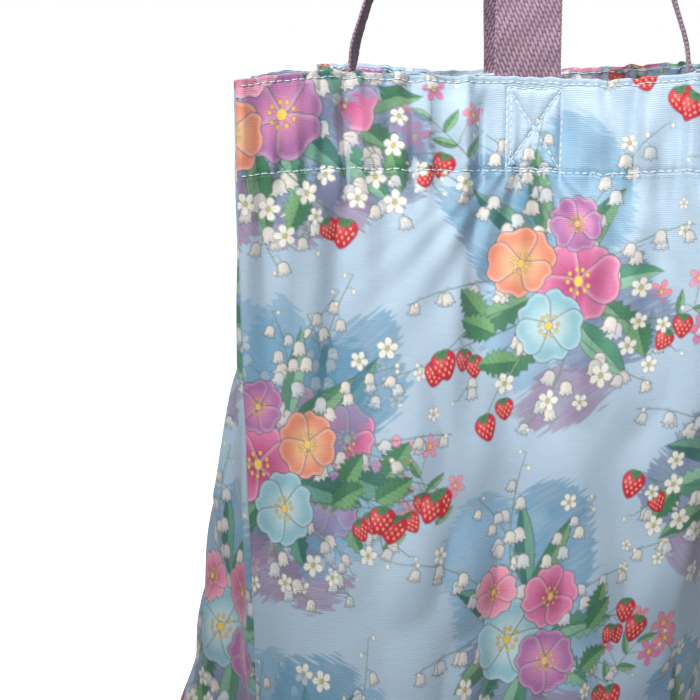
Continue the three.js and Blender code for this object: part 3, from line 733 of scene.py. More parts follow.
# ---------------------------------------------------------------- meshes
def mesh_obj(name, verts, quads, polys, material, uv, colours=None, weave=None):
    """A mesh from vertices in millimetres, quads and further polygons, turned to face outward."""
    verts = np.asarray(verts, np.float64).reshape(-1, 3) * MM
    quads = np.asarray(quads, np.int32).reshape(-1, 4)
    volume = 0.0
    for a, b, c in ((0, 1, 2), (0, 2, 3)):
        normals = np.cross(verts[quads[:, b]], verts[quads[:, c]])
        volume += np.einsum("ij,ij->i", verts[quads[:, a]], normals).sum()
    for poly in polys:
        w = verts[poly]
        volume += (w[0] * np.cross(w[1:-1] - w[0], w[2:] - w[0])).sum()
    if volume < 0:
        quads, polys = quads[:, ::-1], [poly[::-1] for poly in polys]
    loops = np.concatenate([quads.ravel(), np.array([i for q in polys for i in q], np.int32)])
    sizes = np.array([4] * len(quads) + [len(q) for q in polys], np.int32)
    starts = np.concatenate([[0], np.cumsum(sizes)[:-1]]).astype(np.int32)
    mesh = bpy.data.meshes.new(name)
    mesh.vertices.add(len(verts))
    mesh.vertices.foreach_set("co", verts.astype(np.float32).ravel())
    mesh.loops.add(len(loops))
    mesh.loops.foreach_set("vertex_index", loops)
    mesh.polygons.add(len(sizes))
    mesh.polygons.foreach_set("loop_start", starts)
    mesh.polygons.foreach_set("loop_total", sizes)
    mesh.polygons.foreach_set("use_smooth", np.ones(len(sizes), bool))
    mesh.update(calc_edges=True)
    layer = mesh.uv_layers.new(name="cloth")
    layer.data.foreach_set("uv", uv.reshape(-1, 2).astype(np.float32)[loops].ravel())
    if colours is not None:
        rgba = np.ones((len(verts), 4), np.float32)
        rgba[:, :3] = colours
        layer = mesh.color_attributes.new("print", "FLOAT_COLOR", "POINT")
        layer.data.foreach_set("color", rgba.ravel())
    if weave is not None:
        layer = mesh.attributes.new("weave", "FLOAT", "POINT")
        layer.data.foreach_set("value", weave.astype(np.float32).ravel())
    mesh.validate()
    mesh.materials.append(material)
    obj = bpy.data.objects.new(name, mesh)
    bpy.context.scene.collection.objects.link(obj)
    return obj


def grid_faces(rows, cols):
    """Quads of a grid of vertices stored row by row."""
    i, j = np.meshgrid(np.arange(rows - 1), np.arange(cols - 1), indexing="ij")
    a = i * cols + j
    return np.stack([a, a + cols, a + cols + 1, a + 1], -1).reshape(-1, 4)


def ring_faces(rows, sides, closed=False):
    """Quads between rings of vertices; closed joins the last ring to the first."""
    i, j = np.meshgrid(np.arange(rows if closed else rows - 1), np.arange(sides), indexing="ij")
    i2, j2 = (i + 1) % rows, (j + 1) % sides
    corners = [i * sides + j, i * sides + j2, i2 * sides + j2, i2 * sides + j]
    return np.stack(corners, -1).reshape(-1, 4)


def end_caps(rows, sides):
    return [list(range(sides))[::-1], list(range((rows - 1) * sides, rows * sides))]


def shell(name, near, far, uv, colours, back, wash=0.4):
    """A closed thin sheet of printed cloth: a fine near face and a coarse far face.

    The far face matches every STRIDE-th row and column; its print is washed towards back.
    """
    (rows, cols), (far_rows, far_cols) = near.shape[:2], far.shape[:2]
    offset = rows * cols
    far_faces = grid_faces(far_rows, far_cols) + offset
    polys = []

    def strip(outer, inner):
        for c in range(len(inner) - 1):
            edge = outer[c * STRIDE:(c + 1) * STRIDE + 1]
            polys.append(list(edge) + [inner[c + 1], inner[c]])

    fine_ids = np.arange(offset).reshape(rows, cols)
    far_ids = np.arange(far_rows * far_cols).reshape(far_rows, far_cols) + offset
    strip(fine_ids[:, 0][::-1], far_ids[:, 0][::-1])
    strip(fine_ids[:, -1], far_ids[:, -1])
    strip(fine_ids[0, :], far_ids[0, :])
    strip(fine_ids[-1, :][::-1], far_ids[-1, :][::-1])

    def both(near_values, far_values):
        count = near_values.shape[-1]
        return np.vstack([near_values.reshape(-1, count), far_values.reshape(-1, count)])

    far_colours = colours[::STRIDE, ::STRIDE] * (1 - wash) + back * wash
    faces = np.vstack([grid_faces(rows, cols), far_faces[:, ::-1]])
    return mesh_obj(name, both(near, far), faces, polys, PRINT,
                    both(uv, uv[::STRIDE, ::STRIDE]), both(colours, far_colours))


def ring_mesh(name, rings, material, uv, closed=False, weave=None):
    """A solid swept through rings, one closed section a row; its ends are capped unless closed."""
    rows, sides = rings.shape[:2]
    polys = [] if closed else end_caps(rows, sides)
    return mesh_obj(name, rings, ring_faces(rows, sides, closed), polys, material, uv, weave=weave)


def fine(start, *stretches):
    """Values from start through (step, end) stretches, each in a multiple of STRIDE pieces."""
    out = [start]
    for step, end in stretches:
        count = max(1, int(round(abs(end - start) / (step * COARSE) / STRIDE))) * STRIDE
        out += list(start + (end - start) * np.arange(1, count + 1) / count)
        start = end
    return np.array(out)


def loop_section(half_width, half_thick, count, power=3.2):
    """A rounded flat section."""
    t = 2 * np.pi * np.arange(count) / count
    c, s = np.cos(t), np.sin(t)
    return np.c_[half_width * np.sign(c) * np.abs(c) ** (2 / power),
                 half_thick * np.sign(s) * np.abs(s) ** (2 / power)]


def tell(obj, body, slot, *nodes):
    """Tell the frame which body moves the piece and which CAD nodes it replaces; slot is not used."""
    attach(obj, body)
    if nodes:
        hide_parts(*nodes)


THREAD_R, THREAD_SIDES, STITCH_FILL, STITCH_LIFT = 0.26, 7, 0.84, 0.16


def tube(path, normals, radii):
    """Vertices of a round thread along a path."""
    tangents = unit(np.gradient(path, axis=0))
    sideways = unit(np.cross(tangents, normals))
    up = np.cross(sideways, tangents)
    a = (2 * np.pi * np.arange(THREAD_SIDES) / THREAD_SIDES)[None, :, None]
    spokes = sideways[:, None] * np.cos(a) + up[:, None] * np.sin(a)
    return (path[:, None] + spokes * radii[:, None, None]).reshape(-1, 3)


def sew(name, body, nodes, runs, wander=0.12):
    """Separate stitches in one mesh. Each run is (line, length, pitch, seed).

    line(t, side, height) gives points for millimetres along, beside and above the run.
    """
    verts, uvs, polys = [], [], []
    rows = 8
    u = np.linspace(0, 1, rows)
    swell = np.sin(np.pi * u)
    around = np.tile(np.arange(THREAD_SIDES) / THREAD_SIDES, rows)
    for line, length, pitch, seed in runs:
        g = np.random.RandomState(seed)
        count = max(1, int(round(length / pitch)))
        step = length / count
        gap = step * (1 - STITCH_FILL) / 2
        for i in range(count):
            t = np.linspace(i * step + gap, (i + 1) * step - gap, rows)
            side = g.normal(0, wander) * 0.5 + g.normal(0, wander) * (u - 0.5)
            height = (STITCH_LIFT + 0.04 * g.randn()) * swell ** 0.55 - 0.16 * (1 - swell ** 0.5)
            path = line(t, side, height)
            up = line(t, side, height + 0.5) - path
            verts.append(tube(path, up, THREAD_R * (0.62 + 0.38 * swell ** 0.6)))
            uvs.append(np.c_[np.repeat(t, THREAD_SIDES), around])
    size = rows * THREAD_SIDES
    quads = [ring_faces(rows, THREAD_SIDES) + k * size for k in range(len(verts))]
    for k in range(len(verts)):
        polys += [[i + k * size for i in cap] for cap in end_caps(rows, THREAD_SIDES)]
    obj = mesh_obj(name, np.vstack(verts), np.vstack(quads), polys, THREAD, np.vstack(uvs))
    tell(obj, body, "thread", *nodes)


# ---------------------------------------------------------------- materials
class Material:
    """A Principled material, with short ways to add and link nodes."""

    def __init__(self, name):
        self.data = bpy.data.materials.new(name)
        self.data.use_nodes = True
        self.tree = self.data.node_tree
        self.bsdf = next(n for n in self.tree.nodes if n.type == "BSDF_PRINCIPLED")

    def node(self, kind, **settings):
        node = self.tree.nodes.new("ShaderNode" + kind)
        for key, value in settings.items():
            setattr(node, key, value)
        return node

    def feed(self, node, values):
        """Fill inputs by key: a number, an RGB triple or a socket to link."""
        for key, value in values.items():
            if isinstance(value, (int, float)):
                node.inputs[key].default_value = value
            elif isinstance(value, (tuple, np.ndarray)):
                node.inputs[key].default_value = (*[float(x) for x in value], 1.0)
            else:
                self.tree.links.new(value, node.inputs[key])

    def finish(self, values):
        self.feed(self.bsdf, values)
        return self.data

    def position(self):
        return self.node("NewGeometry").outputs["Position"]

    def cloth_uv(self):
        """The UV vector and its two parts."""
        uv = self.node("UVMap", uv_map="cloth").outputs[0]
        parts = self.node("SeparateXYZ")
        self.feed(parts, {0: uv})
        return uv, parts.outputs[0], parts.outputs[1]

    def attribute(self, name):
        return self.node("Attribute", attribute_name=name)

    def math(self, operation, *values):
        node = self.node("Math", operation=operation)
        self.feed(node, dict(enumerate(values)))
        return node.outputs[0]

    def scaled(self, value, factor, plus=None):
        """value * factor, or value * factor + plus."""
        if plus is None:
            return self.math("MULTIPLY", value, factor)
        return self.math("MULTIPLY_ADD", value, factor, plus)

    def noise(self, vector, scale=1.0, detail=3.0, rough=0.5, stretch=None):
        if stretch is not None:
            mapping = self.node("Mapping")
            mapping.inputs["Scale"].default_value = stretch
            self.feed(mapping, {"Vector": vector})
            vector = mapping.outputs[0]
        node = self.node("TexNoise")
        self.feed(node, {"Scale": scale, "Detail": detail, "Roughness": rough, "Vector": vector})
        return node.outputs["Fac"]

    def mix(self, factor, a, b, mode="MIX"):
        node = self.node("Mix", data_type="RGBA", blend_type=mode)
        self.feed(node, {0: factor, 6: a, 7: b})
        return node.outputs[2]

    def bump(self, height, distance, strength, normal=None):
        node = self.node("Bump")
        self.feed(node, {"Strength": strength, "Distance": distance, "Height": height})
        if normal is not None:
            self.feed(node, {"Normal": normal})
        return node.outputs[0]


def cloth_material():
    """Thin plain-weave cloth: a fine crosswise rib, slubs, a soft sheen, coloured by the print."""
    m = Material("printed_cloth")
    rib = 0.84
    position = m.position()
    uv, u, v = m.cloth_uv()
    slub = m.noise(uv, rough=0.6, stretch=(0.16, 1.35, 1))
    warp_slub = m.noise(uv, detail=2, rough=0.6, stretch=(1.4, 0.22, 1))
    weft = m.math("SINE", m.scaled(slub, 3.0, plus=m.scaled(v, 2 * math.pi / rib)))
    warp_phase = m.scaled(u, 2 * math.pi / (rib * 0.62))
    warp = m.math("SINE", m.scaled(warp_slub, 2.0, plus=warp_phase))
    threads = m.scaled(slub, 1.6, plus=m.scaled(warp, 0.4, plus=m.scaled(weft, 0.7)))
    cloud = m.noise(position, scale=26.0, rough=0.55)
    tone = m.scaled(slub, 0.16, plus=m.scaled(cloud, 0.08, plus=0.88))
    # painted shade: the rib's grooves are coloured a little darker than its ridges
    tone = m.scaled(weft, 0.022, plus=tone)
    grey = m.node("CombineColor")
    m.feed(grey, {0: tone, 1: tone, 2: tone})
    # on the wall panels this attribute holds the print with painted shade of the stitched grooves
    # multiplied in
    printed = m.attribute("print").outputs["Color"]
    crumple = m.noise(position, scale=160.0, rough=0.6)
    normal = m.bump(crumple, distance=0.0004, strength=0.35)
    return m.finish({
        "Base Color": m.mix(1.0, printed, grey.outputs[0], "MULTIPLY"),
        "Normal": m.bump(threads, distance=0.00006, strength=0.8, normal=normal),
        "Roughness": m.scaled(slub, 0.16, plus=0.42),
        "Specular IOR Level": 0.36,
        "Sheen Weight": 0.3,
        "Sheen Roughness": 0.42,
        "Sheen Tint": (0.9, 0.95, 1.0),
    })


def webbing_material():
    """Dusty mauve webbing: crowns of slanted yarn, heather and fuzz; the gaps between the crowns are
    painted darker as shade, and the crown tops lighter as a painted highlight.
    """
    m = Material("webbing_weave")
    uv, u, v = m.cloth_uv()
    crown = m.attribute("weave").outputs["Fac"]
    yarn = m.noise(uv, rough=0.65, stretch=(2.6, 0.9, 1))
    hair = m.noise(uv, detail=2, rough=0.6, stretch=(7.0, 2.2, 1))
    wide = m.noise(m.position(), scale=30.0, detail=2)
    # painted shade: the low gaps between the yarn crowns are coloured dark
    gap = srgb(54, 34, 48)
    flank = m.mix(yarn, srgb(128, 102, 119), srgb(162, 134, 151))
    # painted highlight: the tops of the crowns are coloured lighter
    top = m.mix(hair, srgb(158, 130, 148), srgb(198, 172, 188))
    gap_shade_lift = m.scaled(m.math("POWER", crown, 1.5), 1.5)
    colour = m.mix(m.math("SMOOTH_MIN", gap_shade_lift, 1.0, 0.15), gap, flank)
    colour = m.mix(m.scaled(m.math("POWER", crown, 2.4), 0.75), colour, top)
    strand = m.scaled(v, 3.4, plus=m.scaled(hair, 6.0))
    strand = m.math("SINE", m.scaled(m.scaled(u, 1.2), 9.0, plus=strand))
    height = m.scaled(strand, 0.25, plus=m.math("ADD", hair, yarn))
    return m.finish({
        "Base Color": m.mix(m.scaled(wide, 0.3), colour, srgb(150, 120, 142)),
        "Normal": m.bump(height, distance=0.00016, strength=0.8),
        "Roughness": 0.86,
        "Specular IOR Level": 0.2,
        "Sheen Weight": 0.35,
        "Sheen Roughness": 0.5,
    })


def thread_material():
    """Pale twisted thread."""
    m = Material("sewing_thread")
    _, u, v = m.cloth_uv()
    twist = m.math("SINE", m.scaled(m.scaled(u, 1.7, plus=v), 2 * math.pi))
    grain = m.noise(m.position(), scale=900.0, detail=2)
    factor = m.scaled(twist, 0.3, plus=m.scaled(grain, 0.4, plus=0.3))
    return m.finish({
        "Base Color": m.mix(factor, srgb(196, 220, 230), srgb(232, 244, 250)),
        "Normal": m.bump(twist, distance=0.00007, strength=0.8),
        "Roughness": 0.46,
        "Sheen Weight": 0.25,
    })


def tape_material():
    """Binding tape: a close twill of fine diagonal ribs."""
    m = Material("binding_tape")
    colour, pitch = srgb(158, 188, 206), 0.7
    uv, u, v = m.cloth_uv()
    grain = m.noise(uv, rough=0.6, stretch=(0.6, 0.9, 1))
    diagonal = m.scaled(grain, 0.5, plus=m.math("ADD", u, v))
    twill = m.math("SINE", m.scaled(diagonal, 2 * math.pi / pitch))
    factor = m.scaled(twill, 0.16, plus=m.scaled(grain, 0.5, plus=0.25))
    return m.finish({
        "Base Color": m.mix(factor, colour * 0.82, np.minimum(colour * 1.14, 1)),
        "Normal": m.bump(twill, distance=0.0001, strength=0.9),
        "Roughness": 0.6,
        "Sheen Weight": 0.3,
    })


def nickel_material():
    m = Material("snap_nickel")
    position = m.position()
    grain = m.noise(position, scale=420.0, detail=4, rough=0.6)
    wide = m.noise(position, scale=90.0, detail=2)
    return m.finish({
        "Base Color": m.mix(wide, srgb(176, 178, 182), srgb(206, 206, 208)),
        "Metallic": 1.0,
        "Roughness": m.scaled(grain, 0.22, plus=0.2),
        "Normal": m.bump(grain, distance=0.00003, strength=0.4),
    })


def floor_material():
    """A white floor that glows to the camera but bounces only a dim grey."""
    m = Material("floor_white")
    white = np.array((0.92, 0.92, 0.92))
    grain = m.noise(m.position(), scale=40.0)
    seen = m.node("LightPath").outputs["Is Camera Ray"]
    return m.finish({
        "Base Color": m.mix(seen, (0.45, 0.46, 0.48), m.mix(grain, white * 0.985, white)),
        "Roughness": 0.9,
        "Specular IOR Level": 0.1,
        "Emission Color": (1, 1, 1),
        "Emission Strength": m.scaled(seen, 0.82),
    })


PRINT = cloth_material()
THREAD = thread_material()
TAPE = tape_material()
WEB = webbing_material()
NICKEL = nickel_material()
paint_print()


# ---------------------------------------------------------------- wall panels and hem facings
FOLD_R, CLOTH_T = 0.475, 0.32  # radius of the fold at the mouth, thickness of the cloth


def wall_panel(name, node, start, along, below, print_shift):
    """One side of the bag: up the inside for a short way, over the fold, down the outside."""
    turn = np.linspace(0, np.pi, 9)
    inside = np.linspace(3.0, FOLD_R, 8)[:-1]
    below = below[1:]
    flat = np.zeros(len(below))
    down = np.r_[inside, FOLD_R - FOLD_R * np.sin(turn), below]
    depth = np.r_[np.full(7, 2 * FOLD_R), FOLD_R + FOLD_R * np.cos(turn), flat]
    # the far face lies one thickness from the near one, along these directions
    far_down = down + CLOTH_T * np.r_[np.zeros(7), np.sin(turn), flat]
    far_depth = depth + CLOTH_T * np.r_[np.full(7, -1.0), -np.cos(turn), flat + 1]
    run = travelled(np.c_[down, depth])
    run = run - run[15] + 0.3
    # the back panel's side edges tuck under the front panel's
    tuck = np.zeros(len(along))
    if start:
        tuck = 1.3 * sstep(2.6, 0.2, np.minimum(along, PANEL_W - along))
    near = wall(along + start, down[:, None], depth[:, None] + tuck)
    far = wall(along[::STRIDE] + start, far_down[::STRIDE, None],
               far_depth[::STRIDE, None] + tuck[::STRIDE])
    S, R = np.meshgrid(along, run)
    # painted shade of the stitched grooves, multiplied into the print colours of the outer face
    shade = np.where(depth[:, None] < 0.3, groove_tone(S + start, R), 1.0)[..., None]
    colours = print_at(S + print_shift, R) * shade
    panel = shell(name, near, far, np.stack([S, R], -1), colours, BASE * 1.04)
    tell(panel, "bag", "cloth", node)


wall_panel("front_panel_cloth", "front_panel", 0, fine(0.0, (0.42, 214), (0.84, 420.0)),
           fine(FOLD_R, (0.42, 262), (0.84, 353.8)), 0.0)
wall_panel("back_panel_cloth", "back_panel", PANEL_W, fine(-1.4, (0.84, 360), (0.6, 421.4)),
           fine(FOLD_R, (0.84, 353.8)), 162.0)


def facing_depth(along):
    """Depth of the hem facing, which steps in over the webbing feet."""
    return 1.3 + 1.78 * sstep(26, 15, np.abs(leg_distance(along)))


def hem_facing(name, node, start, print_shift):
    S, V = np.meshgrid(fine(15.5, (0.8, 404.5)), fine(1.5, (0.6, 37.6)))
    ripple = 0.12 * FINE_FOLDS(S + start, V * 2.2) - 0.2 * hump(V - 36.6, 1.3)
    depth = facing_depth(S) + np.clip(ripple, -0.14, 0.3)
    near = wall(S + start, V, depth + 0.34)
    far = wall(*(q[::STRIDE, ::STRIDE] for q in (S + start, V, depth)))
    colours = print_at(S + print_shift, V + 118)
    tell(shell(name, near, far, np.stack([S, V], -1), colours, BASE), "bag", "cloth", node)


hem_facing("front_hem_facing", "hem_facing_front", 0, 90.0)
hem_facing("back_hem_facing", "hem_facing_back", PANEL_W, 240.0)


# ---------------------------------------------------------------- base cloth
def base_cloth():
    """A sheet stretched between the four sides of the base ring."""
    fx, fy = np.linspace(0, 1, 121), np.linspace(0, 1, 81)
    X, Y = np.meshgrid(fx, fy, indexing="ij")
    mx, my = X[..., None], Y[..., None]
    half = BASE_W // 2
    # corners along the ring: front left, front right, back right, back left
    corners = half, PANEL_W - half, PANEL_W + half, GIRTH - half
    front, rear = ring_at(BASE_RING, half + BASE_L * fx), ring_at(BASE_RING, corners[3] - BASE_L * fx)
    left, right = ring_at(BASE_RING, half - BASE_W * fy), ring_at(BASE_RING, corners[1] + BASE_W * fy)
    plan = front[:, None] * (1 - my) + rear[:, None] * my + left[None] * (1 - mx) + right[None] * mx
    weights = (1 - mx) * (1 - my), mx * (1 - my), mx * my, (1 - mx) * my
    for corner, weight in zip(corners, weights):
        plan -= ring_at(BASE_RING, np.array([corner]))[0] * weight
    plan *= 0.992
    x, y = plan[..., 0], plan[..., 1]
    edge = np.minimum(np.minimum(X, 1 - X) * BASE_L, np.minimum(Y, 1 - Y) * BASE_W)
    ripple = np.sin(x * 0.11 + 1.3 * np.sin(y * 0.06)) * np.sin(y * 0.13 + 0.4)
    top = 0.78 + 0.22 * ripple * sstep(0, 14, edge) + 0.16 * hump(edge, 5)
    near = np.concatenate([plan, top[..., None]], -1)
    far = (near - [0, 0, 0.42])[::STRIDE, ::STRIDE]
    sheet = shell("base_cloth", near, far, plan, print_at(x + 200, y + 150), BASE, wash=0.0)
    tell(sheet, "bag", "cloth", "base_panel")


base_cloth()

# ---------------------------------------------------------------- bindings of the bag
TAPE_HALF = 3.9
BASE_TAPE = loop_section(TAPE_HALF, 0.52, 20)
SEAM_TAPE = loop_section(TAPE_HALF, 0.56, 20)
TAPE_ROUND = travelled(BASE_TAPE)  # UV round both tapes


def base_binding():
    mid = 5.5  # height of the tape's middle
    along = np.arange(0, GIRTH, 2.0 * COARSE)
    wide, thick = BASE_TAPE.T
    puff = 0.1 * np.abs(np.sin(along * 0.95))[:, None] * hump(wide, 2.6) * np.sign(thick)
    down = RIM_Z - (mid + wide) - 0.14 * TAPE_WAVES(along, 0)[:, None]
    rings = wall(along[:, None], down, 1.72 + thick + puff)
    tape = ring_mesh("base_binding_tape", rings, TAPE, pair(along, TAPE_ROUND), closed=True)
    tell(tape, "bag", "binding", "base_binding")


def seam_binding(side, node):
    """An upright tape inside a side seam, stitched on both faces."""
    z = np.arange(11.8, 314.8, 1.0 * COARSE)
    middle = np.abs(wall(0.0, RIM_Z - z, raised=False)[:, 0]) - 2 * TAPE_HALF
    wobble = 0.14 * np.sin(z * 0.21 + side) + 0.1 * np.sin(z * 0.53)
    puff = 1 + 0.16 * np.abs(np.sin(z * np.pi / 3.2))
    x = side * ((middle + wobble)[:, None] - side * SEAM_TAPE[:, 0])
    y = SEAM_TAPE[:, 1] * puff[:, None] + 0.1 * np.sin(z * 0.11)[:, None]
    rings = np.stack(np.broadcast_arrays(x, y, z[:, None]), -1)
    tell(ring_mesh(node + "_tape", rings, TAPE, pair(z, TAPE_ROUND)), "bag", "binding", node)

    def line(face):
        def at(t, beside, height):
            height_z = 12.5 + t
            x = side * (np.interp(height_z, z, middle) - 2.4 + beside)
            return np.stack([x, face * (0.6 + height), height_z], -1)
        return at

    runs = [(line(face), 300.0, 3.2, 31 + face + side) for face in (-1, 1)]
    sew(node + "_stitch", "bag", (), runs)


base_binding()
seam_binding(-1, "seam_binding_left")
seam_binding(1, "seam_binding_right")
sew("base_binding_stitch", "bag", (), [
    (lambda t, side, height: wall(t, RIM_Z - 7.6 - side, 2.3 + height), GIRTH - 1.0, 3.2, 41),
])


# ---------------------------------------------------------------- stitching on the hem
def outer_face(along, down, height):
    return wall(along, down, -height)


def inner_face(along, down, height):
    return wall(along, down, facing_depth(along) + 0.32 + height)


def level_line(face, start, level):
    return lambda t, side, height: face(start + t, level + side, height)


for stitch_name, stitch_node, level in (("hem_stitch_upper", "hem_stitch_top", HEM_UPPER),
                                        ("hem_stitch_lower", "hem_stitch_bottom", HEM_LOWER)):
    hem_runs = []
    for start in (0, PANEL_W):
        seed = start + int(level)
        hem_runs.append((level_line(outer_face, start + 2.0, level), 416.0, 3.0, 51 + seed))
        hem_runs.append((level_line(inner_face, start + 16.5, level), 387.0, 3.0, 57 + seed))
    sew(stitch_name, "bag", (stitch_node,), hem_runs)


def box_line(face, middle, sign, start, end):
    """A straight run between two points of the sewn box, and its length."""
    length = float(np.hypot(*(end - start)))
    ux, uy = (end - start) / length

    def at(t, side, height):
        x, down = start[0] + ux * t - uy * side, start[1] + uy * t + ux * side
        return face(middle + sign * x, down, height)

    return at, length


# one extra run doubles the box's edge at -x
BOX_DOUBLED = np.array([[(-BOX_X + 1.8, BOX_TOP + 1), (-BOX_X + 1.5, BOX_LOW - 1)]])
BOX_SEAMS = np.concatenate([BOX_RUNS, BOX_DOUBLED])
for leg_name, (leg_at, sign) in LEGS.items():
    box_runs = []
    for first_seed, face in ((71, outer_face), (84, inner_face)):
        for i, (start, end) in enumerate(BOX_SEAMS):
            line, length = box_line(face, leg_at + sign * BOX_SHIFT, sign, start, end)
            box_runs.append((line, length, 2.8, first_seed + i))
    sew("box_x_stitch_" + leg_name, "bag", ("box_stitch_" + leg_name,), box_runs)

# ---------------------------------------------------------------- handles
WEB_HALF, WEB_HALF_T = 12.2, 0.62
FOOT_DEPTH = 1.9  # depth of the webbing's middle behind the wall
CROWN_PITCH, CROWN_RUN = 1.45, 3.9  # the weave's crowns, across and along the webbing


def handle_path():
    """Left half of the front handle: points, distances and the width's angle in plan."""
    foot_down = np.arange(35.0, -9.0, -0.5)
    foot = wall(LEG_S, np.clip(foot_down, 0, None), FOOT_DEPTH, raised=False)
    foot[:, 2] = RIM_Z - foot_down
    p0 = np.array([foot[-1, 0], foot[-1, 1], RIM_Z + 10.6])
    p1 = p0 + [27, 23, 100]
    p3 = np.array([0, -HANDLE_Y, RIM_Z + HANDLE_H])
    p2 = p3 - [BEND + 16, 0, 0]
    t = np.linspace(0, 1, 500)[:, None]
    arch = (1 - t) ** 3 * p0 + 3 * (1 - t) ** 2 * t * p1 + 3 * (1 - t) * t * t * p2 + t ** 3 * p3
    angle0 = math.atan2(-MOUTH_B, MOUTH_A)
    arch_angle = angle0 + (-math.pi / 2 - angle0) * sstep(0, 1, t[:, 0])
    angle = np.r_[np.full(len(foot), angle0), arch_angle]
    path = np.vstack([foot, arch])
    run = travelled(path)
    spots = np.linspace(0, run[-1], int(run[-1] / (0.5 * COARSE)) + 1)
    path = np.stack([np.interp(spots, run, path[:, i]) for i in range(3)], -1)
    return path, spots, np.interp(spots, run, angle)


def mirrored(rows):
    return rows[::-1] * [-1, 1, 1]


def eased(path, spots):
    """The path smoothed above the foot, for an even curve through the turn at the mouth."""
    sigma = 5.0 / spots[1]
    reach = int(3 * sigma)
    kernel = np.exp(-np.arange(-reach, reach + 1) ** 2 / (2 * sigma * sigma))
    kernel /= kernel.sum()
    lead = path[0] - (path[1] - path[0]) * np.arange(reach, 0, -1)[:, None]
    longer = np.vstack([lead, path, mirrored(path)[1:reach + 1]])
    smooth = np.stack([np.convolve(longer[:, i], kernel, "valid") for i in range(3)], -1)
    w = sstep(34, 46, spots)[:, None]
    return path * (1 - w) + smooth * w


def handle(name, body, feet, start, turn):
    """A webbing handle; the back one is the front one turned by half a turn (turn = -1)."""
    half, spots, angle = handle_path()
    half = eased(half, spots)
    last = len(half) - 1
    path = np.vstack([half, mirrored(half[:-1])])
    widths = np.c_[np.cos(angle), np.sin(angle), 0 * angle]
    widths = np.vstack([widths, mirrored(widths[:-1])])
    tangents = unit(np.gradient(path, axis=0))
    widths = unit(widths - tangents * (widths * tangents).sum(1, keepdims=True))
    normals = np.cross(tangents, widths)
    run = travelled(path)
    # section: one face, edge, other face, edge
    count = int(round(74 / COARSE))
    face_x = np.linspace(-WEB_HALF, WEB_HALF, count)
    edge_x = WEB_HALF + 0.7 * np.array([0.28, 0.62, 0.88, 0.62, 0.28])
    edge_h = WEB_HALF_T * np.array([0.8, 0.48, 0.0, -0.48, -0.8])
    face_h, no_face = np.full(count, WEB_HALF_T), np.zeros(5)
    X = np.r_[face_x, edge_x, face_x[::-1], -edge_x]
    H = np.r_[face_h, edge_h, -face_h, -edge_h]
    face = np.r_[np.ones(count), no_face, -np.ones(count), no_face]
    # woven crowns on the faces, a beaded edge
    R = run[:, None]
    row = (X + WEB_HALF + 0.36 * R + 0.12 * np.sin(R * 0.31)) / CROWN_PITCH
    row_id = np.floor(row)
    phase = R / CROWN_RUN + 0.5 * np.mod(row_id, 2) + 0.06 * np.sin(row_id * 7.1)
    cx, cy = row - row_id - 0.5, phase - np.floor(phase) - 0.5
    crown = np.clip(1 - np.abs(2 * cx) ** 2.2 - np.abs(1.9 * cy) ** 3.4, 0, 1) ** 0.5
    crown = crown * (0.86 + 0.14 * np.sin(row_id * 12.9 + np.floor(phase) * 4.7))
    bead = np.abs(np.sin(np.pi * R / 1.9))
    # the weave attribute tells the webbing material where to paint shade (low gaps) and a highlight
    # (crowns and edge beads)
    weave = np.where(face != 0, crown, bead)
    height = H + face * (0.5 * crown - 0.26) + 0.05 * np.sin(R * 0.11 + X * 0.2)
    across = X + np.where(face == 0, np.sign(X) * (0.34 * bead - 0.1), 0)
    free = path[:, None] + widths[:, None] * across[..., None] + normals[:, None] * height[..., None]
    free[..., :2] *= turn
    # in the hem the webbing lies against the cloth
    down = (RIM_Z - path[:, 2])[:, None]
    far_leg = (np.arange(len(path)) >= last)[:, None]
    inward = wall(LEG_S, 10.0, 3.0, raised=False) - wall(LEG_S, 10.0, 0.0, raised=False)
    inward = np.sign(inward @ normals[5])
    leg_at = np.where(far_leg, PANEL_W - LEG_S, LEG_S)
    held = wall(start + leg_at + np.where(far_leg, -1.0, 1.0) * across,
                np.clip(down, 0, None), FOOT_DEPTH + inward * height * 0.94)
    held[..., 2] = np.where(down < 0, RIM_Z - down, held[..., 2])
    hold = sstep(-7, 3, down)[..., None]
    uv = np.stack(np.meshgrid(X + 40 * (face < 0), run), -1)
    obj = ring_mesh(name, free * (1 - hold) + held * hold, WEB, uv, weave=np.clip(weave, 0, 1))
    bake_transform(obj)
    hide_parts(body, *feet)


handle("front_handle_webbing", "handle_front",
       ("handle_foot_front_left", "handle_foot_front_right"), 0, 1.0)
handle("back_handle_webbing", "handle_back",
       ("handle_foot_back_right", "handle_foot_back_left"), PANEL_W, -1.0)

# ---------------------------------------------------------------- the folding pouch on the back hem
# The pouch has its own frame: x across it, -y towards the inside of the bag, z up.
POUCH_ORIGIN, POUCH_ANGLE = (58.7956, 43.7088), -0.706195
BACK_Y, FRONT_Y, FLAP_Y, STUD_Z = -4.9, -7.2, -11.5, 268.0


def in_pouch(x, y, z):
    """Points of the pouch's frame, in the bag's."""
    x, y, z = np.broadcast_arrays(*(np.asarray(q, float) for q in (x, y, z)))
    c, s = math.cos(POUCH_ANGLE), math.sin(POUCH_ANGLE)
    return np.stack([POUCH_ORIGIN[0] + x * c - y * s, POUCH_ORIGIN[1] + x * s + y * c, z], -1)


def soft_wave(x, z, seed, size):
    g = np.random.RandomState(seed)
    total = 0
    for _ in range(6):
        total = total + np.sin(x * g.uniform(-0.16, 0.16) + z * g.uniform(-0.14, 0.14)
                               + g.uniform(0, 6.28))
    return size * total / 2.45


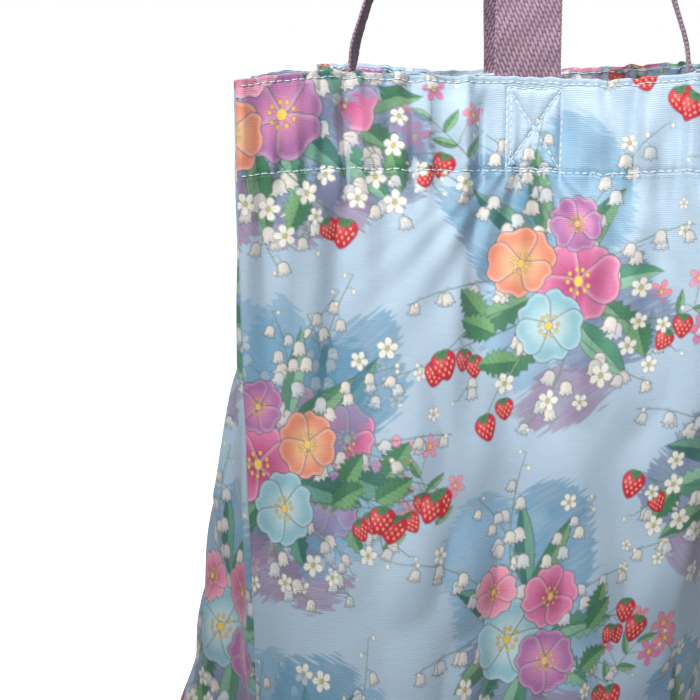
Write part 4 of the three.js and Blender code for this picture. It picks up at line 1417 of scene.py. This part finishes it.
def pouch_sheet(name, half, low, high, step, y_face, thick, seed, wave, shift, round_low=0.0):
    """A thin printed sheet; y_face is its face towards the bag's inside, shift moves the print."""
    X, Z = np.meshgrid(fine(-half, (step, half)), fine(high, (step, low)))
    if round_low:
        rise = np.clip(round_low - (Z - low), 0, None)
        inset = np.sqrt(np.clip(round_low ** 2 - rise ** 2, 0, None))
        X = X * (half - round_low + inset) / half
    y = y_face + soft_wave(X, Z, seed, wave)
    colours = print_at(X + shift[0], 380 - Z + shift[1])
    far = in_pouch(X, y + thick, Z)[::STRIDE, ::STRIDE]
    return shell(name, in_pouch(X, y, Z), far, np.stack([X, Z], -1), colours, BASE)


def pouch_back():
    """The back sheet joined with a narrow level lip near its top."""
    back = pouch_sheet("pouch_back_sheet", 50, 190.3, 309.6, 0.8, BACK_Y - 0.72, 0.5, 61, 0.09,
                       (150, 0))
    X, Y = np.meshgrid(fine(-42, (1.2, 42)), fine(-5.5, (0.6, -11.0)))
    z = 302.42 + 0.08 * np.sin(X * 0.3)
    lip = shell("pouch_lip", in_pouch(X, Y, z), in_pouch(X, Y, z - 0.5)[::STRIDE, ::STRIDE],
                np.stack([X, Y], -1), print_at(X + 150, Y + 80), BASE, wash=0)
    for obj in bpy.context.selected_objects:
        obj.select_set(False)
    for obj in (back, lip):
        obj.select_set(True)
    bpy.context.view_layer.objects.active = back
    bpy.ops.object.join()
    back.name = "pouch_back_cloth"
    return back


tell(pouch_back(), "pouch", "cloth", "pouch_back")
tell(pouch_sheet("pouch_front_cloth", 49.8, 190.3, 299.7, 0.8, FRONT_Y - 0.74, 0.55, 62, 0.08,
                 (262, 10)), "pouch", "cloth", "pouch_front")
tell(pouch_sheet("pouch_flap_cloth", 42, 252.9, 302.3, 0.7, FLAP_Y - 0.72, 0.6, 63, 0.07,
                 (30, -60), round_low=9.0), "pouch_flap", "cloth", "pouch_flap")
tell(pouch_sheet("pouch_hanger_cloth", 46, 311.0, 327.8, 0.7, BACK_Y - 0.72, 0.55, 64, 0.05,
                 (80, 0)), "bag", "cloth", "pouch_hanger")


def u_path(half, bottom, radius, falling, angles, level, rising):
    """A U in (x, z): down the side at -x, round, across the bottom, round, and up the side at +x."""
    cx, cz = half - radius, bottom + radius
    points = [(-half, z) for z in falling]
    points += [(-cx - radius * math.cos(a), cz - radius * math.sin(a)) for a in angles]
    points += [(x, bottom) for x in level]
    points += [(cx + radius * math.sin(a), cz - radius * math.cos(a)) for a in angles]
    points += [(half, z) for z in rising]
    return np.array(points)


# binding round the pouch's two sides and bottom
BIND_HALF, BIND_LOW, BIND_TOP, BIND_R, BIND_STEP = 47.4, 192.6, 299.6, 6.0, 1.2
bind_path = u_path(
    BIND_HALF, BIND_LOW, BIND_R,
    falling=np.arange(BIND_TOP, BIND_LOW + BIND_R, -BIND_STEP * COARSE),
    angles=np.linspace(0, math.pi / 2, 9),
    level=np.arange(-BIND_HALF + BIND_R + BIND_STEP, BIND_HALF - BIND_R, BIND_STEP * COARSE),
    rising=np.arange(BIND_LOW + BIND_R + BIND_STEP, BIND_TOP, BIND_STEP * COARSE),
)
bind_tangents = unit(np.gradient(bind_path, axis=0))
bind_out = np.c_[bind_tangents[:, 1], -bind_tangents[:, 0]]
bind_run = travelled(bind_path)
bind_section = loop_section(3.4, 2.2, 28, 5.0)
bind_puff = 1 + 0.05 * np.abs(np.sin(bind_run * np.pi / 3.2))
bind_points = bind_path[:, None] + bind_out[:, None] * bind_section[None, :, :1]
bind_y = -6.45 + bind_section[:, 1] * bind_puff[:, None]
bind_rings = in_pouch(bind_points[..., 0], bind_y, bind_points[..., 1])
tell(ring_mesh("pouch_binding_tape", bind_rings, TAPE, pair(bind_run, travelled(bind_section))),
     "pouch", "binding", "pouch_binding")


def bind_line(t, side, height):
    x, z = (np.interp(t, bind_run, bind_path[:, k])
            + np.interp(t, bind_run, bind_out[:, k]) * (side - 1.9) for k in (0, 1))
    return in_pouch(x, -8.72 - height, z)


def pouch_line(y, z):
    """A level line across the pouch, from x = -44."""
    return lambda t, side, height: in_pouch(-44 + t, y - height, z + side)


flap_path = u_path(39.6, 255.3, 6.6, np.linspace(300, 262, 20), np.linspace(0.1, math.pi / 2, 8),
                   np.linspace(-32, 32, 33), np.linspace(263, 300, 20))
flap_run = travelled(flap_path)


def flap_line(t, side, height):
    x, z = (np.interp(t, flap_run, flap_path[:, k]) for k in (0, 1))
    return in_pouch(x + side, FLAP_Y - 0.78 - height, z)


sew("pouch_stitch", "pouch", (),
    [(bind_line, bind_run[-1], 3.0, 91), (pouch_line(-7.96, 297.6), 88, 3.0, 92)])
sew("pouch_flap_stitch", "pouch_flap", (), [(flap_line, flap_run[-1], 3.0, 93)], wander=0.06)
sew("pouch_hanger_stitch", "bag", (),
    [(pouch_line(BACK_Y - 0.74, z), 88, 3.0, 94 + int(z)) for z in (313.2, 325.6)])


# ---------------------------------------------------------------- the snap
def turned(name, profile, segments=56):
    """A turned metal part about the snap's axis.

    profile is (radius, y) points, a closed loop, or an open line that ends on the axis.
    """
    profile = np.array(profile, float)
    closed = profile[0, 0] > 1e-6
    count = len(profile)
    points = []
    for i in range(count if closed else count - 1):
        a, b = profile[i], profile[(i + 1) % count]
        pieces = max(2, int(np.linalg.norm(b - a) / 0.4))
        points += [a + (b - a) * j / pieces for j in range(pieces)]
    if not closed:
        points.append(profile[-1])
    points = np.array(points)
    rounded = (np.roll(points, 1, 0) + 2 * points + np.roll(points, -1, 0)) / 4
    t = 2 * np.pi * np.arange(segments) / segments
    if closed:
        radius, y = rounded.T
        c, s = np.cos(t)[:, None], np.sin(t)[:, None]
        rings = in_pouch(radius * c, y, STUD_Z + radius * s)
        return ring_mesh(name, rings, NICKEL, np.zeros(rings.shape[:2] + (2,)), closed=True)
    radius, y = rounded[1:-1].T[..., None]
    rings = in_pouch(radius * np.cos(t), y, STUD_Z + radius * np.sin(t)).reshape(-1, 3)
    ends = in_pouch(np.zeros(2), points[[0, -1], 1], STUD_Z)
    rows = len(radius)
    first, last, low = rows * segments, rows * segments + 1, (rows - 1) * segments
    polys = [[first, (k + 1) % segments, k] for k in range(segments)]
    polys += [[last, low + k, low + (k + 1) % segments] for k in range(segments)]
    verts = np.vstack([rings, ends])
    return mesh_obj(name, verts, ring_faces(rows, segments), polys, NICKEL,
                    np.zeros((len(verts), 2)))


CAP_Y, SOCKET_Y, KNOB_Y = -12.6, -11.2, -8.3
CAP = [
    [0, CAP_Y - 1.25], [2.6, CAP_Y - 1.2], [4.4, CAP_Y - 1.08], [5.6, CAP_Y - 0.85],
    [6.15, CAP_Y - 0.5], [6.2, CAP_Y - 0.1], [6.0, CAP_Y], [1.4, CAP_Y], [1.4, -10.4], [0, -10.4],
]
SOCKET = [
    [1.8, SOCKET_Y], [5.5, SOCKET_Y], [5.5, SOCKET_Y + 1.7], [3.3, SOCKET_Y + 1.7],
    [3.3, SOCKET_Y + 0.6], [1.8, SOCKET_Y + 0.6],
]
STUD = [
    [1.8, KNOB_Y], [5, KNOB_Y], [5, KNOB_Y - 0.6], [2.8, KNOB_Y - 0.6], [2.8, KNOB_Y - 1.5],
    [1.8, KNOB_Y - 1.5],
]
POST = [[0, -6.3], [4.5, -6.3], [4.5, -6.9], [1.4, -6.9], [1.4, -9.0], [0, -9.0]]
for snap_node, profile, body in (("snap_cap", CAP, "pouch_flap"), ("snap_socket", SOCKET, "pouch_flap"),
                                 ("snap_stud", STUD, "pouch"), ("snap_post", POST, "pouch")):
    tell(turned(snap_node + "_metal", profile), body, "stud", snap_node)

# ---------------------------------------------------------------- floor and world
FLOOR_HALF, FLOOR_Z, FLOOR_CUTS = 40000.0, -0.6, 60
floor_line = np.linspace(-FLOOR_HALF, FLOOR_HALF, FLOOR_CUTS)
floor_plan = pair(floor_line, floor_line).reshape(-1, 2)
floor = mesh_obj("studio_floor", np.c_[floor_plan, np.full(len(floor_plan), FLOOR_Z)],
                 grid_faces(FLOOR_CUTS, FLOOR_CUTS), [], floor_material(), np.zeros_like(floor_plan))
floor.data.flip_normals()  # lying below the origin, it was made facing down


def build_world():
    """A dim cool light all round, which the camera sees as plain white."""
    world = bpy.context.scene.world or bpy.data.worlds.new("studio")
    bpy.context.scene.world = world
    world.use_nodes = True
    nodes, links = world.node_tree.nodes, world.node_tree.links
    light = next(n for n in nodes if n.type == "BACKGROUND")
    light.inputs[0].default_value = (0.97, 0.985, 1.0, 1)
    light.inputs[1].default_value = 0.23
    seen = nodes.new("ShaderNodeBackground")
    seen.inputs[0].default_value = (1, 1, 1, 1)
    seen.inputs[1].default_value = 1.0
    ray = nodes.new("ShaderNodeLightPath")
    both = nodes.new("ShaderNodeMixShader")
    output = next(n for n in nodes if n.type == "OUTPUT_WORLD")
    links.new(ray.outputs["Is Camera Ray"], both.inputs[0])
    links.new(light.outputs[0], both.inputs[1])
    links.new(seen.outputs[0], both.inputs[2])
    links.new(both.outputs[0], output.inputs["Surface"])


build_world()


# ---------------------------------------------------------------- lights, in metres and watts
def area(name, location, target, size, power, colour=(1, 1, 1), spread=180):
    """A round area light aimed at target; spread in degrees."""
    light = bpy.data.lights.new(name, "AREA")
    light.shape = "DISK"
    light.size = size
    light.energy = power
    light.color = colour
    light.spread = math.radians(spread)
    obj = bpy.data.objects.new(name, light)
    obj.location = location
    aim = Vector(target) - Vector(location)
    obj.rotation_euler = aim.to_track_quat("-Z", "Y").to_euler()
    bpy.context.scene.collection.objects.link(obj)


area("key_light", (-1.2, -0.55, 1.35), target=(-0.05, -0.1, 0.5), size=0.42, power=1.62,
     colour=(1, 0.99, 0.98), spread=32)
area("fill_light", (0.35, -1.7, 1.5), target=(0, 0, 0.42), size=1.0, power=0.75, spread=60)
area("back_light", (1.3, 0.75, 1.25), target=(0.04, 0.02, 0.36), size=0.8, power=1.5, spread=60)
area("top_light", (0.1, -0.1, 2.0), target=(0, 0, 0.35), size=1.0, power=6,
     colour=(0.97, 0.98, 1.0))

# ---------------------------------------------------------------- camera
CAM_DISTANCE, CAM_HEIGHT = 949.2, 376.37  # from the bag's upright axis, and above the floor
CAM_AZIMUTH = math.radians(45.28)  # from -y towards -x
CAM_YAW, CAM_PITCH = math.radians(4.3048448), math.radians(8.381398)  # right and down of the axis
SENSOR, LENS = 36.0, 114.84


def build_camera():
    data = bpy.data.cameras.new("view_camera")
    camera = bpy.data.objects.new("view_camera", data)
    bpy.context.scene.collection.objects.link(camera)
    data.sensor_width = SENSOR
    data.lens = LENS
    data.clip_start, data.clip_end = 0.05, 60.0
    heading = CAM_AZIMUTH + CAM_YAW
    level = Vector((math.sin(heading), math.cos(heading), 0))
    # the azimuth's line of sight runs towards (+x, +y); yaw turns it clockwise seen from above
    level = Vector((math.sin(CAM_AZIMUTH), math.cos(CAM_AZIMUTH), 0))
    level = Matrix.Rotation(CAM_YAW, 3, "Z") @ level
    forward = (level * math.cos(CAM_PITCH) - Vector((0, 0, math.sin(CAM_PITCH)))).normalized()
    right = forward.cross(Vector((0, 0, 1))).normalized()
    matrix = Matrix((right, right.cross(forward), -forward)).transposed().to_4x4()
    matrix.translation = Vector((-math.sin(CAM_AZIMUTH) * CAM_DISTANCE,
                                 -math.cos(CAM_AZIMUTH) * CAM_DISTANCE, CAM_HEIGHT)) * MM
    camera.matrix_world = matrix
    bpy.context.scene.camera = camera


build_camera()
bpy.context.scene.view_settings.view_transform = "Standard"

bpy.context.view_layer.update()
